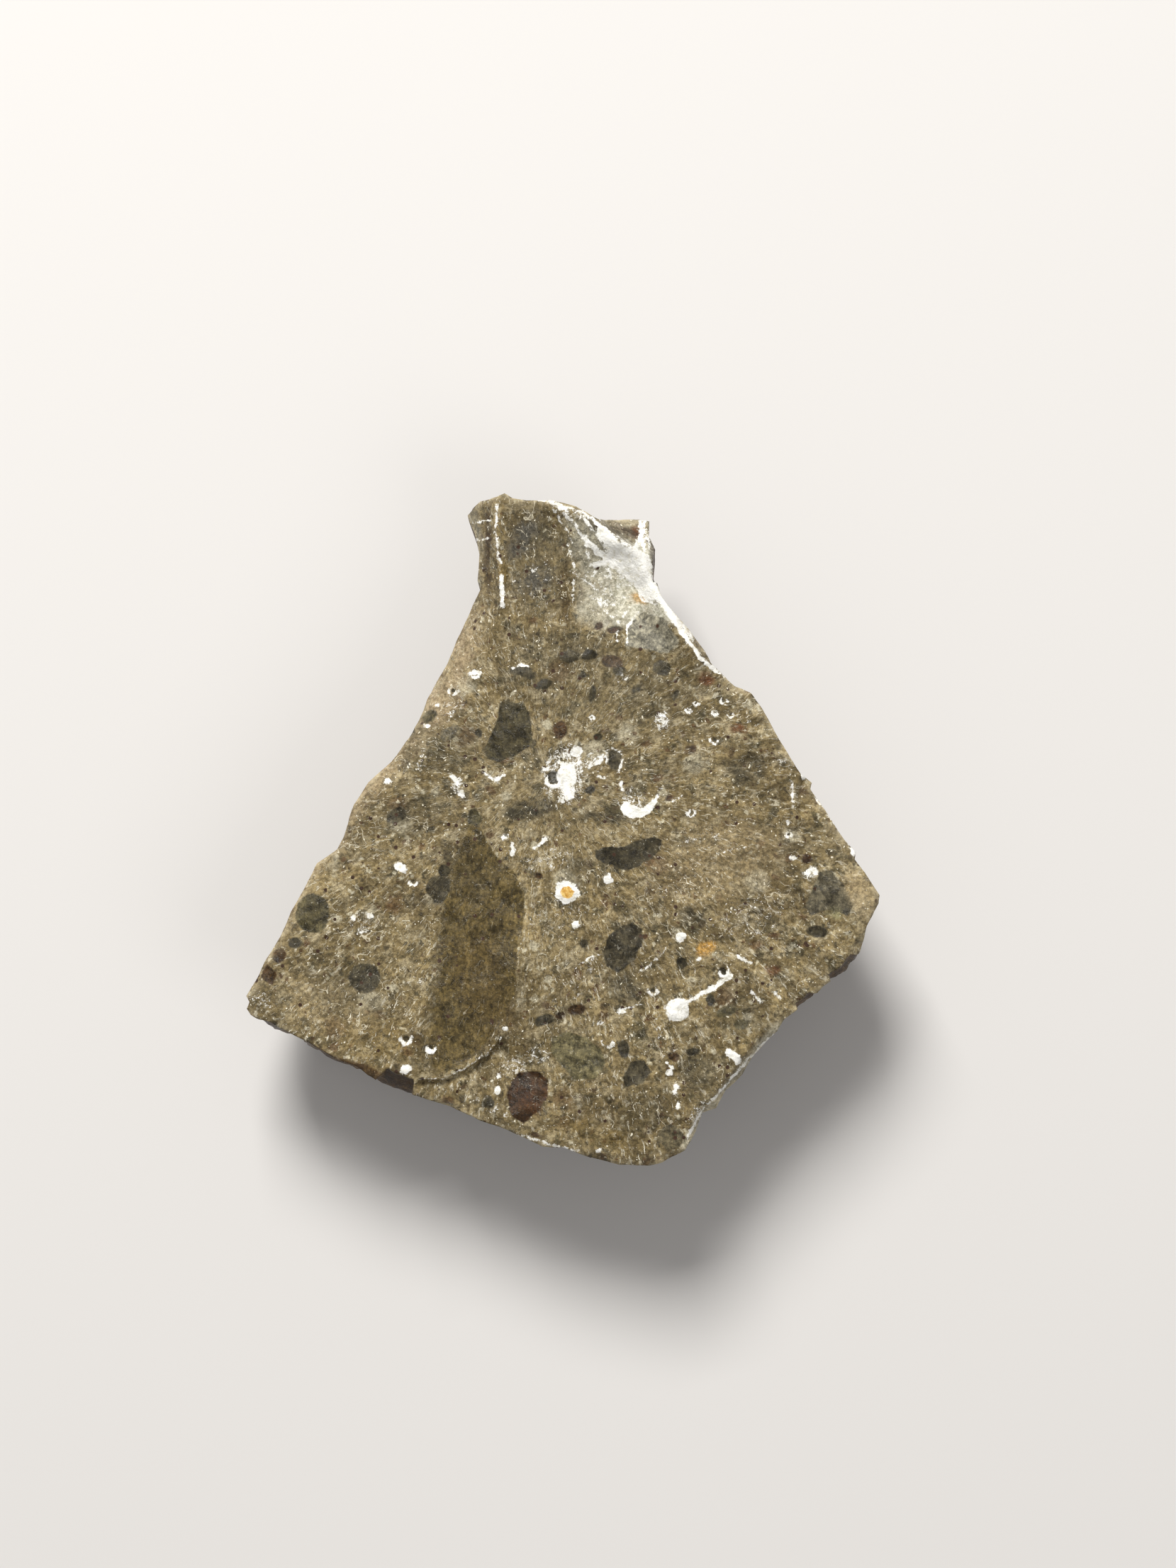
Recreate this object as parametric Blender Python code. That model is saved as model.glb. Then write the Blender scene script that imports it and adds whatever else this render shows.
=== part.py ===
"""Lunar meteorite fragment: a broken flake with a short neck, lying on a small flat on its underside.

The stone is one solid. Its plan outline, its broad fracture face, its rough side wall and its faceted
underside each follow from the dimensions below. Lengths are in millimetres until the mesh is made.
Seen from above, +X is to the right and +Y runs up to the neck.
"""
import math

import bmesh
import bpy
import numpy as np
from mathutils import Vector, geometry, noise

MM = 0.001

# Broad face, above the flat spot that the stone lies on.
FACE_HEIGHT = 4.85
FACE_TILT_X = 0.010
FACE_TILT_Y = -0.012
FACE_SWELL = 0.0035
FACE_UNDULATION = 0.11
UNDULATION_LENGTH = 3.6

# Left side of the face: a strip that falls away from a soft edge, steepest on the neck.
SHOULDER_SLOPE = 0.62
NECK_FACET_SLOPE = 1.15
SHOULDER_SOFTNESS = 0.22

# Neck: a thin ridge, a shallow hollow, a shell-shaped scoop and the crest round it.
NECK_RIDGE_RISE = 0.16
NECK_HOLLOW_DEPTH = 0.24
SCOOP_DEPTH = 0.46
CREST_RISE = 0.26
CREST_WIDTH = 0.42
OUTER_STRIP_SLOPE = 0.85
REAR_STEP_DROP = 0.62

# Smaller breaks in the face.
LOWER_STEP_DROP = 0.20
RIGHT_STEP_DROP = 0.20
LOWER_RIGHT_BEVEL = 0.9
LOWER_RIGHT_BEVEL_WIDTH = 0.30
RIM_ROUNDING = 0.10

# Underside: a flat spot, and around it broken facets that climb to the rim.
FLAT_CENTRE = (-0.1, -1.55)
FACET_CURVE = 0.010
UNDERSIDE_ROUGHNESS = 0.24
UNDERCUT = 0.55
UNDERCUT_SPREAD = 0.75

# Side wall.
WALL_ROWS = 5
WIDEST_LEVEL = 0.34
WALL_ROUGHNESS = 0.20
RIM_RAGGEDNESS = 0.035

# Point spacings of the faceted solid.
RIM_SPACING = 0.36
FACE_SPACING = 0.43
UNDERSIDE_SPACING = 0.50

# The outline is star-shaped about this point.
HUB = (-0.3, 2.0)

# Plan outline, clockwise from the top left of the neck.
OUTLINE = (
    (-2.87, 9.35), (-2.65, 9.60), (-2.48, 9.74), (-1.97, 9.84), (-1.75, 9.93), (-1.50, 9.78),
    (-1.03, 9.72), (-0.38, 9.74), (0.36, 9.53), (1.02, 9.16), (2.23, 9.23), (2.54, 9.16),
    (2.54, 8.71), (2.71, 8.29), (2.69, 7.50), (2.88, 6.90), (3.30, 6.35), (3.73, 5.87),
    (4.13, 5.33), (4.35, 4.93), (5.04, 4.24), (5.52, 4.05), (5.87, 3.57), (6.21, 2.93),
    (6.61, 2.24), (6.99, 1.65), (7.32, 1.38), (7.28, 1.20), (7.65, 0.66), (8.31, -0.33),
    (8.61, -0.67), (8.58, -0.87), (8.88, -1.27), (9.31, -1.93), (9.29, -2.17), (8.91, -2.93),
    (8.75, -3.60), (8.31, -4.20), (7.68, -4.60), (7.21, -5.07), (6.48, -5.60), (6.28, -5.93),
    (5.68, -6.58), (5.26, -7.20), (4.75, -7.75), (4.49, -8.21), (4.09, -8.32), (3.88, -8.91),
    (3.58, -9.44), (2.92, -9.76), (2.54, -9.87), (1.64, -9.86), (0.78, -9.65), (-0.02, -9.36),
    (-0.60, -9.33), (-1.46, -8.94), (-2.65, -8.46), (-4.33, -7.83), (-4.77, -7.78), (-5.19, -7.63),
    (-5.85, -7.18), (-6.81, -6.85), (-7.50, -6.40), (-8.55, -5.89), (-9.24, -5.47), (-9.36, -5.29),
    (-9.27, -5.08), (-9.36, -4.90), (-9.09, -4.45), (-8.82, -3.88), (-8.37, -3.16), (-8.04, -2.38),
    (-7.68, -1.78), (-7.30, -1.00), (-6.69, -0.58), (-6.51, -0.22), (-6.21, 0.74), (-5.79, 1.40),
    (-5.13, 2.00), (-4.56, 2.72), (-4.05, 3.86), (-3.45, 5.00), (-2.95, 6.10), (-2.50, 7.13),
    (-2.57, 7.41), (-2.50, 8.15), (-2.65, 8.80), (-2.81, 9.11),
)

# Edge between the face and the strip that falls away on the left, from the neck down.
SHOULDER_EDGE = (
    (-1.98, 10.2), (-1.98, 8.45), (-1.85, 7.85), (-1.80, 6.55), (-2.05, 6.00), (-2.90, 3.40),
    (-4.60, 1.60), (-5.90, 0.20), (-7.20, -1.50), (-8.40, -3.60), (-9.30, -5.30),
)

# Bright crest that runs from the top of the neck down its right side.
CREST = (
    (-0.75, 9.75), (0.50, 9.40), (1.05, 9.00), (1.50, 8.60), (2.10, 8.20), (2.60, 7.20),
    (3.10, 6.50), (3.60, 5.60), (4.00, 5.00), (4.50, 4.65),
)

# Ledge on the lower left, the short step on the right edge and the bevel on the lower right.
LOWER_STEP = (
    (-4.40, -7.60), (-4.30, -7.30), (-3.60, -7.30), (-2.90, -7.00), (-2.30, -6.60), (-1.60, -5.80),
)
RIGHT_STEP = ((6.95, 1.75), (6.75, 1.00), (6.85, 0.30), (6.60, -0.30))
LOWER_RIGHT_RIM = ((6.30, -5.80), (5.20, -7.20), (4.40, -8.15), (3.60, -9.30))

# Where the side wall stands out past the face: start and end along the outline, and how far out.
WALL_LEDGES = (
    ((-4.45, -7.80), (-5.55, -7.40), 0.50),
    ((-5.75, -7.25), (-9.10, -5.55), 0.12),
    ((8.70, -3.70), (7.90, -4.50), 0.24),
    ((7.45, -4.85), (6.90, -5.30), 0.20),
    ((2.70, 8.30), (2.72, 7.30), 0.14),
)

# Facets of the underside: bearing from the flat's centre in degrees, start of the climb, slope.
FACETS = (
    (97.0, 2.6, 0.31),
    (44.0, 2.2, 0.42),
    (2.0, 3.1, 0.47),
    (-47.0, 2.3, 0.36),
    (-101.0, 2.2, 0.45),
    (-158.0, 2.7, 0.34),
    (148.0, 1.9, 0.44),
)

# Rows of points that carry the thin edges of the face: the path and the offsets of its rows.
CREASES = (
    (SHOULDER_EDGE[:5], (-0.22, 0.0, 0.22)),
    (CREST, (-0.40, 0.0, 0.20)),
    (LOWER_STEP, (0.0, -0.18)),
)
CREASE_SPACING = 0.34

STONE_COLOUR = (0.27, 0.21, 0.12, 1.0)
STONE_ROUGHNESS = 0.52


def path_offset(x, y, path):
    """Distance to a path, positive on its left, and the share of its length at the nearest point."""
    nearest = np.full(x.shape, 1e9)
    offset = np.zeros(x.shape)
    along = np.zeros(x.shape)
    run = 0.0
    for (x0, y0), (x1, y1) in zip(path, path[1:]):
        dx = x1 - x0
        dy = y1 - y0
        length = math.hypot(dx, dy)
        share = np.clip(((x - x0) * dx + (y - y0) * dy) / length ** 2, 0.0, 1.0)
        ex = x - x0 - share * dx
        ey = y - y0 - share * dy
        reach = np.hypot(ex, ey)
        closer = reach < nearest - 1e-9
        side = np.where(dx * ey - dy * ex < 0.0, -1.0, 1.0)
        offset = np.where(closer, reach * side, offset)
        along = np.where(closer, run + share * length, along)
        nearest = np.minimum(nearest, reach)
        run += length
    return offset, along / run


def smooth_step(value, low, high):
    """0 below low, 1 above high, with a smooth passage between."""
    share = np.clip((value - low) / (high - low), 0.0, 1.0)
    return share * share * (3.0 - 2.0 * share)


def soft_ramp(distance, softness):
    """Nearly 0 for negative distances, then rising one for one after a rounded start."""
    return 0.5 * (distance + np.sqrt(distance * distance + softness * softness))


def bump(x, y, centre, size_x, size_y, turn=0.0):
    """A smooth mound of height 1 over an ellipse turned by some degrees."""
    c = math.cos(math.radians(turn))
    s = math.sin(math.radians(turn))
    u = ((x - centre[0]) * c + (y - centre[1]) * s) / size_x
    v = ((y - centre[1]) * c - (x - centre[0]) * s) / size_y
    return np.clip(1.0 - u * u - v * v, 0.0, 1.0) ** 1.5


def rough(x, y, z, length, octaves, seed):
    """Fractal noise between about -1 and 1 with the given longest wavelength."""
    shift = Vector((seed * 7.31, seed * 3.17, seed * 5.73))
    points = np.stack([x, y, z], axis=-1) / length
    return np.array([
        noise.fractal(Vector(point) + shift, 0.9, 2.1, octaves, noise_basis="PERLIN_ORIGINAL")
        for point in points.tolist()
    ])


def closed(path):
    return tuple(path) + (path[0],)


def inside(x, y, ring):
    """True where a point lies inside a closed ring of points."""
    odd = np.zeros(x.shape, dtype=bool)
    for (x0, y0), (x1, y1) in zip(ring, np.roll(ring, -1, axis=0)):
        if y0 == y1:
            continue
        crosses = (y0 > y) != (y1 > y)
        odd ^= crosses & (x < (x1 - x0) * (y - y0) / (y1 - y0) + x0)
    return odd


def face_height(x, y):
    """Height of the upper side of the stone above a point of the plan."""
    zero = np.zeros(x.shape)
    height = FACE_HEIGHT + FACE_TILT_X * x + FACE_TILT_Y * y
    height -= FACE_SWELL * ((x - 0.5) ** 2 + (y + 1.0) ** 2) * 0.5
    height += FACE_UNDULATION * rough(x, y, zero, UNDULATION_LENGTH, 3, 1)

    # The left strip falls away outside the shoulder edge, which has the face on its left.
    shoulder, shoulder_run = path_offset(x, y, SHOULDER_EDGE)
    outward = -shoulder
    on_neck = 1.0 - smooth_step(shoulder_run, 0.20, 0.34)
    slope = SHOULDER_SLOPE + (NECK_FACET_SLOPE - SHOULDER_SLOPE) * on_neck
    height -= slope * soft_ramp(outward, SHOULDER_SOFTNESS)
    ridge = np.exp(-(shoulder / 0.14) ** 2) * smooth_step(y, 6.2, 6.8)
    height += NECK_RIDGE_RISE * ridge

    # Neck hollow between the ridge and the scoop, and the scoop itself.
    height -= NECK_HOLLOW_DEPTH * bump(x, y, (-0.95, 8.0), 1.05, 2.3)
    height -= SCOOP_DEPTH * bump(x, y, (1.55, 6.95), 1.75, 1.55, -28.0)
    height -= 0.16 * bump(x, y, (2.45, 5.95), 0.95, 0.60, -20.0)

    # The crest stands up, and the strip beyond it falls away to the rim.
    crest, crest_run = path_offset(x, y, CREST)
    fade = smooth_step(crest_run, 0.0, 0.08) * (1.0 - smooth_step(crest_run, 0.90, 1.0))
    height += CREST_RISE * fade * np.exp(-(crest / CREST_WIDTH) ** 2)
    beyond = soft_ramp(crest, 0.10) * fade
    height -= OUTER_STRIP_SLOPE * np.minimum(beyond, 1.2)
    rear = smooth_step(crest, 0.02, 0.22) * smooth_step(y, 8.05, 8.35) * smooth_step(x, 0.9, 1.25)
    height -= REAR_STEP_DROP * rear * (1.0 - 0.5 * smooth_step(x, 2.25, 2.5))

    # The face drops a little below the ledge at the lower left, and heals further down.
    ledge, ledge_run = path_offset(x, y, LOWER_STEP)
    ends = smooth_step(ledge_run, 0.0, 0.06) * (1.0 - smooth_step(ledge_run, 0.8, 1.0))
    below = smooth_step(-ledge, 0.0, 0.16) * (1.0 - smooth_step(-ledge, 0.9, 2.2))
    height -= LOWER_STEP_DROP * ends * below

    # Short step behind the tooth of the right edge.
    step, step_run = path_offset(x, y, RIGHT_STEP)
    ends = smooth_step(step_run, 0.0, 0.15) * (1.0 - smooth_step(step_run, 0.7, 1.0))
    height -= RIGHT_STEP_DROP * ends * smooth_step(step, 0.0, 0.18)
    height += 0.16 * bump(x, y, (8.50, -0.70), 0.30, 0.26)

    # Narrow bevel along the lower right, and a slightly worn rim all round.
    bevel, bevel_run = path_offset(x, y, LOWER_RIGHT_RIM)
    ends = smooth_step(bevel_run, 0.0, 0.12) * (1.0 - smooth_step(bevel_run, 0.88, 1.0))
    height -= LOWER_RIGHT_BEVEL * ends * np.clip(LOWER_RIGHT_BEVEL_WIDTH - np.abs(bevel), 0.0, 1.0)
    rim, _ = path_offset(x, y, closed(OUTLINE))
    height -= RIM_ROUNDING * np.exp(-np.abs(rim) / 0.14)
    return height


def underside_height(x, y):
    """Height of the lower side: exactly zero on the flat spot, rising in facets around it."""
    u = x - FLAT_CENTRE[0]
    v = y - FLAT_CENTRE[1]
    wobble = rough(x, y, np.zeros(x.shape), 4.2, 3, 2)
    climb = np.full(x.shape, -1e9)
    for bearing, start, slope in FACETS:
        angle = math.radians(bearing)
        reach = u * math.cos(angle) + v * math.sin(angle) - start + 0.75 * wobble
        climb = np.maximum(climb, slope * reach + FACET_CURVE * np.clip(reach, 0.0, 9.0) ** 2 * 0.3)
    grain = rough(x, y, np.full(x.shape, 3.0), 1.5, 3, 3)
    return np.where(climb > 0.0, climb + UNDERSIDE_ROUGHNESS * grain * np.clip(climb, 0.0, 1.0) * 0.8, 0.0)


def rim_points(spacing):
    """The outline in short steps, with a slightly ragged line."""
    ring = []
    for (x0, y0), (x1, y1) in zip(OUTLINE, closed(OUTLINE)[1:]):
        steps = max(1, round(math.hypot(x1 - x0, y1 - y0) / spacing))
        for step in range(steps):
            ring.append((x0 + (x1 - x0) * step / steps, y0 + (y1 - y0) * step / steps))
    ring = np.array(ring)
    outward = ring - np.array(HUB)
    outward /= np.linalg.norm(outward, axis=1)[:, None]
    ragged = rough(ring[:, 0], ring[:, 1], np.zeros(len(ring)), 0.9, 2, 4)
    return ring + outward * (RIM_RAGGEDNESS * ragged)[:, None], outward


def ledge_width(ring):
    """How far the wall stands out past the face at each point of the rim."""
    width = np.full(len(ring), 0.03)
    for start, end, reach in WALL_LEDGES:
        offset, run = path_offset(ring[:, 0], ring[:, 1], (start, end))
        ends = smooth_step(run, 0.0, 0.12) * (1.0 - smooth_step(run, 0.88, 1.0))
        width += reach * ends * (np.abs(offset) < 0.5)
    return width


def scatter(ring, spacing, seed):
    """Points in a jittered triangular lattice inside a ring."""
    shaker = np.random.default_rng(seed)
    low = ring.min(axis=0)
    high = ring.max(axis=0)
    points = []
    for row, y in enumerate(np.arange(low[1], high[1], spacing * math.sqrt(0.75))):
        xs = np.arange(low[0] + (row % 2) * 0.5 * spacing, high[0], spacing)
        points.append(np.stack([xs, np.full(xs.shape, y)], axis=1))
    points = np.concatenate(points)
    points += shaker.uniform(-0.16, 0.16, points.shape) * spacing
    closed_ring = np.vstack([ring, ring[:1]])
    offset, _ = path_offset(points[:, 0], points[:, 1], [tuple(p) for p in closed_ring])
    keep = inside(points[:, 0], points[:, 1], ring) & (np.abs(offset) > 0.55 * spacing)
    return points[keep]


def crease_points(ring):
    """Points in rows along the creases of the face, clear of its rim and of each other."""
    border = [tuple(p) for p in np.vstack([ring, ring[:1]])]
    kept = np.empty((0, 2))
    for path, offsets in CREASES:
        for offset in offsets:
            for (x0, y0), (x1, y1) in zip(path, path[1:]):
                length = math.hypot(x1 - x0, y1 - y0)
                steps = max(1, round(length / CREASE_SPACING))
                for step in range(steps):
                    x = x0 + (x1 - x0) * step / steps - (y1 - y0) / length * offset
                    y = y0 + (y1 - y0) * step / steps + (x1 - x0) / length * offset
                    point = np.array([[x, y]])
                    gap, _ = path_offset(point[:, 0], point[:, 1], border)
                    crowded = len(kept) and np.hypot(*(kept - point).T).min() < 0.14
                    if inside(point[:, 0], point[:, 1], ring)[0] and abs(gap[0]) > 0.12 and not crowded:
                        kept = np.vstack([kept, point])
    return kept


def disc(ring, spacing, seed, creases=None):
    """A sheet of triangles inside a ring: its plan points, the ring first, and the triangles."""
    inner = scatter(ring, spacing, seed)
    if creases is not None:
        gaps = np.hypot(inner[:, None, 0] - creases[None, :, 0], inner[:, None, 1] - creases[None, :, 1])
        inner = np.vstack([creases, inner[gaps.min(axis=1) > 0.55 * spacing]])
    points = np.vstack([ring, inner])
    border = [(i, (i + 1) % len(ring)) for i in range(len(ring))]
    found = geometry.delaunay_2d_cdt([Vector(p) for p in points], border, [], 1, 1e-6)
    if len(found[0]) != len(points):
        raise RuntimeError("the outline crosses itself")
    return points, [tuple(face) for face in found[2]]


def build_stone():
    rim, outward = rim_points(RIM_SPACING)
    wobble = rough(rim[:, 0], rim[:, 1], np.full(len(rim), 9.0), 4.0, 3, 5)
    face_ring = rim - outward * ledge_width(rim)[:, None]
    undercut = np.clip(UNDERCUT + UNDERCUT_SPREAD * (0.5 + wobble), 0.3, 1.9)
    foot_ring = rim - outward * undercut[:, None]

    face_plan, face_cells = disc(face_ring, FACE_SPACING, 11, crease_points(face_ring))
    under_plan, under_cells = disc(foot_ring, UNDERSIDE_SPACING, 12)
    face_z = face_height(face_plan[:, 0], face_plan[:, 1])
    under_z = underside_height(under_plan[:, 0], under_plan[:, 1])

    bm = bmesh.new()
    face_verts = [bm.verts.new((x, y, z)) for (x, y), z in zip(face_plan, face_z)]
    under_verts = [bm.verts.new((x, y, z)) for (x, y), z in zip(under_plan, under_z)]
    for cell in face_cells:
        bm.faces.new([face_verts[i] for i in cell])
    for cell in under_cells:
        bm.faces.new([under_verts[i] for i in reversed(cell)])

    # The wall is a loft from the face's rim, out to the widest line, and in to the underside.
    count = len(rim)
    rows = [face_verts[:count]]
    for row in range(1, WALL_ROWS):
        level = row / WALL_ROWS
        out = smooth_step(np.full(count, level), 0.0, WIDEST_LEVEL)
        tuck = np.clip((level - WIDEST_LEVEL) / (1.0 - WIDEST_LEVEL), 0.0, 1.0) ** 1.4
        plan = face_ring * (1.0 - out)[:, None] + rim * out[:, None]
        plan = plan * (1.0 - tuck) + foot_ring * tuck
        z = face_z[:count] * (1.0 - level) + under_z[:count] * level
        depth = WALL_ROUGHNESS * math.sin(math.pi * level)
        plan -= outward * (depth * np.abs(rough(rim[:, 0], rim[:, 1], z, 1.3, 3, 6)))[:, None]
        rows.append([bm.verts.new((x, y, h)) for (x, y), h in zip(plan, z)])
    rows.append(under_verts[:count])
    for upper, lower in zip(rows, rows[1:]):
        for i in range(count):
            j = (i + 1) % count
            bm.faces.new((upper[i], lower[i], lower[j], upper[j]))

    bmesh.ops.triangulate(bm, faces=bm.faces[:], quad_method="SHORT_EDGE")
    bmesh.ops.recalc_face_normals(bm, faces=bm.faces[:])

    # The origin sits under the middle of the stone, on the plane of the flat spot.
    corners = np.array([vert.co for vert in bm.verts])
    middle = (corners.min(axis=0) + corners.max(axis=0)) / 2.0
    bmesh.ops.translate(bm, verts=bm.verts[:], vec=(-middle[0], -middle[1], 0.0))
    bmesh.ops.scale(bm, verts=bm.verts[:], vec=(MM, MM, MM))
    mesh = bpy.data.meshes.new("meteorite")
    bm.to_mesh(mesh)
    bm.free()
    return mesh


def stone_material():
    material = bpy.data.materials.new("feldspathic_breccia")
    material.use_nodes = True
    shader = material.node_tree.nodes["Principled BSDF"]
    shader.inputs["Base Color"].default_value = STONE_COLOUR
    shader.inputs["Roughness"].default_value = STONE_ROUGHNESS
    shader.inputs["Metallic"].default_value = 0.0
    material.diffuse_color = STONE_COLOUR
    return material


def main():
    for old in list(bpy.data.objects):
        bpy.data.objects.remove(old, do_unlink=True)
    collection = bpy.data.collections.new("lunar_meteorite")
    bpy.context.scene.collection.children.link(collection)
    mesh = build_stone()
    mesh.materials.append(stone_material())
    stone = bpy.data.objects.new("meteorite", mesh)
    collection.objects.link(stone)


main()
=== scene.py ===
"""Lunar meteorite fragment: the finished surface of the stone, its material, and a plain studio round it.

Lengths are in millimetres until the mesh is made. Seen from above, +X is to the right and +Y runs up to
the neck. The camera looks straight down on the fracture face.
"""
import math

import bmesh
import bpy
import numpy as np
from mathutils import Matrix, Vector, geometry, noise


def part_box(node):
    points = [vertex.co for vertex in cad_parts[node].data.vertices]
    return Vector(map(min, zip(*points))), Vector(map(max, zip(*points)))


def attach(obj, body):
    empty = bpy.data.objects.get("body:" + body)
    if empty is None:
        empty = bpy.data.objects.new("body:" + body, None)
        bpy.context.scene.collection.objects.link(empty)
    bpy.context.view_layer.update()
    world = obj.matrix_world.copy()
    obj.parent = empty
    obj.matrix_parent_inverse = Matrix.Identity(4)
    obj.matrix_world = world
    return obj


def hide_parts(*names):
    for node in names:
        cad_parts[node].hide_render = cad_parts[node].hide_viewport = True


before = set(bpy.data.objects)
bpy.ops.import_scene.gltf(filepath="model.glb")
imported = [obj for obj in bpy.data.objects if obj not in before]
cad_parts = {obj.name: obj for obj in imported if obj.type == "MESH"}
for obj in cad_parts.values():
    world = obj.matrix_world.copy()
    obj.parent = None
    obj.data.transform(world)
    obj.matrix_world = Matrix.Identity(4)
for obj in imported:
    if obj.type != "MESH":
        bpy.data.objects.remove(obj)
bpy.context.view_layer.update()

MM = 0.001

# Broad face, above the flat spot that the stone lies on.
FACE_HEIGHT = 4.85
FACE_TILT_X = 0.01
FACE_TILT_Y = -0.012
FACE_SWELL = 0.0035
FACE_SWELL_CENTRE = (0.5, -1.0)
FACE_UNDULATION = 0.11
UNDULATION_LENGTH = 3.6

# Left side of the face: a strip that falls away from a soft edge, steepest on the neck.
SHOULDER_SLOPE = 0.62
NECK_FACET_SLOPE = 1.15
SHOULDER_SOFTNESS = 0.22

# Neck: a thin ridge, a shallow hollow, a shell-shaped scoop and the crest round it. A mound or hollow is
# given by its centre, its half sizes and its turn in degrees.
NECK_RIDGE_RISE = 0.16
NECK_RIDGE_WIDTH = 0.14
NECK_HOLLOW_DEPTH = 0.24
NECK_HOLLOW = ((-0.95, 8.0), 1.05, 2.3)
SCOOP_DEPTH = 0.46
SCOOP = ((1.55, 6.95), 1.75, 1.55, -28.0)
SCOOP_FOOT_DEPTH = 0.16
SCOOP_FOOT = ((2.45, 5.95), 0.95, 0.6, -20.0)
CREST_RISE = 0.26
CREST_WIDTH = 0.42
OUTER_STRIP_SLOPE = 0.85
OUTER_STRIP_REACH = 1.2
REAR_STEP_DROP = 0.62

# Smaller breaks in the face.
LOWER_STEP_DROP = 0.2
RIGHT_STEP_DROP = 0.2
RIM_TOOTH_RISE = 0.16
RIM_TOOTH = ((8.5, -0.7), 0.3, 0.26)
LOWER_RIGHT_BEVEL = 0.9
LOWER_RIGHT_BEVEL_WIDTH = 0.3
RIM_ROUNDING = 0.1
RIM_ROUNDING_WIDTH = 0.14

# Underside: a flat spot, and around it broken facets that climb to the rim.
FLAT_CENTRE = (-0.1, -1.55)
FACET_CURVE = 0.01
FACET_WOBBLE = 0.75
UNDERSIDE_ROUGHNESS = 0.24
UNDERCUT = 0.55
UNDERCUT_SPREAD = 0.75
UNDERCUT_LIMITS = (0.3, 1.9)

# Side wall.
WIDEST_LEVEL = 0.34
WALL_ROUGHNESS = 0.2
WALL_GRAIN = 0.1
WALL_WAVE = 0.05
RIM_RAGGEDNESS = 0.035
RIM_FRAY = 0.018
PLAIN_LEDGE = 0.03

# The outline is star-shaped about this point.
HUB = (-0.3, 2.0)

# Plan outline, clockwise from the top left of the neck.
OUTLINE = (
    (-2.87, 9.35), (-2.65, 9.6), (-2.48, 9.74), (-1.97, 9.84), (-1.75, 9.93), (-1.5, 9.78), (-1.03, 9.72),
    (-0.38, 9.74), (0.36, 9.53), (1.02, 9.16), (2.23, 9.23), (2.54, 9.16), (2.54, 8.71), (2.71, 8.29),
    (2.69, 7.5), (2.88, 6.9), (3.3, 6.35), (3.73, 5.87), (4.13, 5.33), (4.35, 4.93), (5.04, 4.24),
    (5.52, 4.05), (5.87, 3.57), (6.21, 2.93), (6.61, 2.24), (6.99, 1.65), (7.32, 1.38), (7.28, 1.2),
    (7.65, 0.66), (8.31, -0.33), (8.61, -0.67), (8.58, -0.87), (8.88, -1.27), (9.31, -1.93),
    (9.29, -2.17), (8.91, -2.93), (8.75, -3.6), (8.31, -4.2), (7.68, -4.6), (7.21, -5.07), (6.48, -5.6),
    (6.28, -5.93), (5.68, -6.58), (5.26, -7.2), (4.75, -7.75), (4.49, -8.21), (4.09, -8.32),
    (3.88, -8.91), (3.58, -9.44), (2.92, -9.76), (2.54, -9.87), (1.64, -9.86), (0.78, -9.65),
    (-0.02, -9.36), (-0.6, -9.33), (-1.46, -8.94), (-2.65, -8.46), (-4.33, -7.83), (-4.77, -7.78),
    (-5.19, -7.63), (-5.85, -7.18), (-6.81, -6.85), (-7.5, -6.4), (-8.55, -5.89), (-9.24, -5.47),
    (-9.36, -5.29), (-9.27, -5.08), (-9.36, -4.9), (-9.09, -4.45), (-8.82, -3.88), (-8.37, -3.16),
    (-8.04, -2.38), (-7.68, -1.78), (-7.3, -1), (-6.69, -0.58), (-6.51, -0.22), (-6.21, 0.74),
    (-5.79, 1.4), (-5.13, 2), (-4.56, 2.72), (-4.05, 3.86), (-3.45, 5), (-2.95, 6.1), (-2.5, 7.13),
    (-2.57, 7.41), (-2.5, 8.15), (-2.65, 8.8), (-2.81, 9.11),
)

# Edge between the face and the strip that falls away on the left, from the neck down.
SHOULDER_EDGE = (
    (-1.98, 10.2), (-1.98, 8.45), (-1.85, 7.85), (-1.8, 6.55), (-2.05, 6), (-2.9, 3.4), (-4.6, 1.6),
    (-5.9, 0.2), (-7.2, -1.5), (-8.4, -3.6), (-9.3, -5.3),
)

# Bright crest that runs from the top of the neck down its right side.
CREST = (
    (-0.75, 9.75), (0.5, 9.4), (1.05, 9), (1.5, 8.6), (2.1, 8.2), (2.6, 7.2), (3.1, 6.5), (3.6, 5.6),
    (4, 5), (4.5, 4.65),
)

# Ledge on the lower left, the short step on the right edge and the bevel on the lower right.
LOWER_STEP = ((-4.4, -7.6), (-4.3, -7.3), (-3.6, -7.3), (-2.9, -7), (-2.3, -6.6), (-1.6, -5.8))
RIGHT_STEP = ((6.95, 1.75), (6.75, 1), (6.85, 0.3), (6.6, -0.3))
LOWER_RIGHT_RIM = ((6.3, -5.8), (5.2, -7.2), (4.4, -8.15), (3.6, -9.3))

# Where the side wall stands out past the face: start and end along the outline, and how far out.
WALL_LEDGES = (
    ((-4.45, -7.8), (-5.55, -7.4), 0.5), ((-5.75, -7.25), (-9.1, -5.55), 0.12),
    ((8.7, -3.7), (7.9, -4.5), 0.24), ((7.45, -4.85), (6.9, -5.3), 0.2), ((2.7, 8.3), (2.72, 7.3), 0.14),
)

# Facets of the underside: bearing from the flat's centre in degrees, start of the climb, slope.
FACETS = (
    (97, 2.6, 0.31), (44, 2.2, 0.42), (2, 3.1, 0.47), (-47, 2.3, 0.36), (-101, 2.2, 0.45),
    (-158, 2.7, 0.34), (148, 1.9, 0.44),
)

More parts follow.
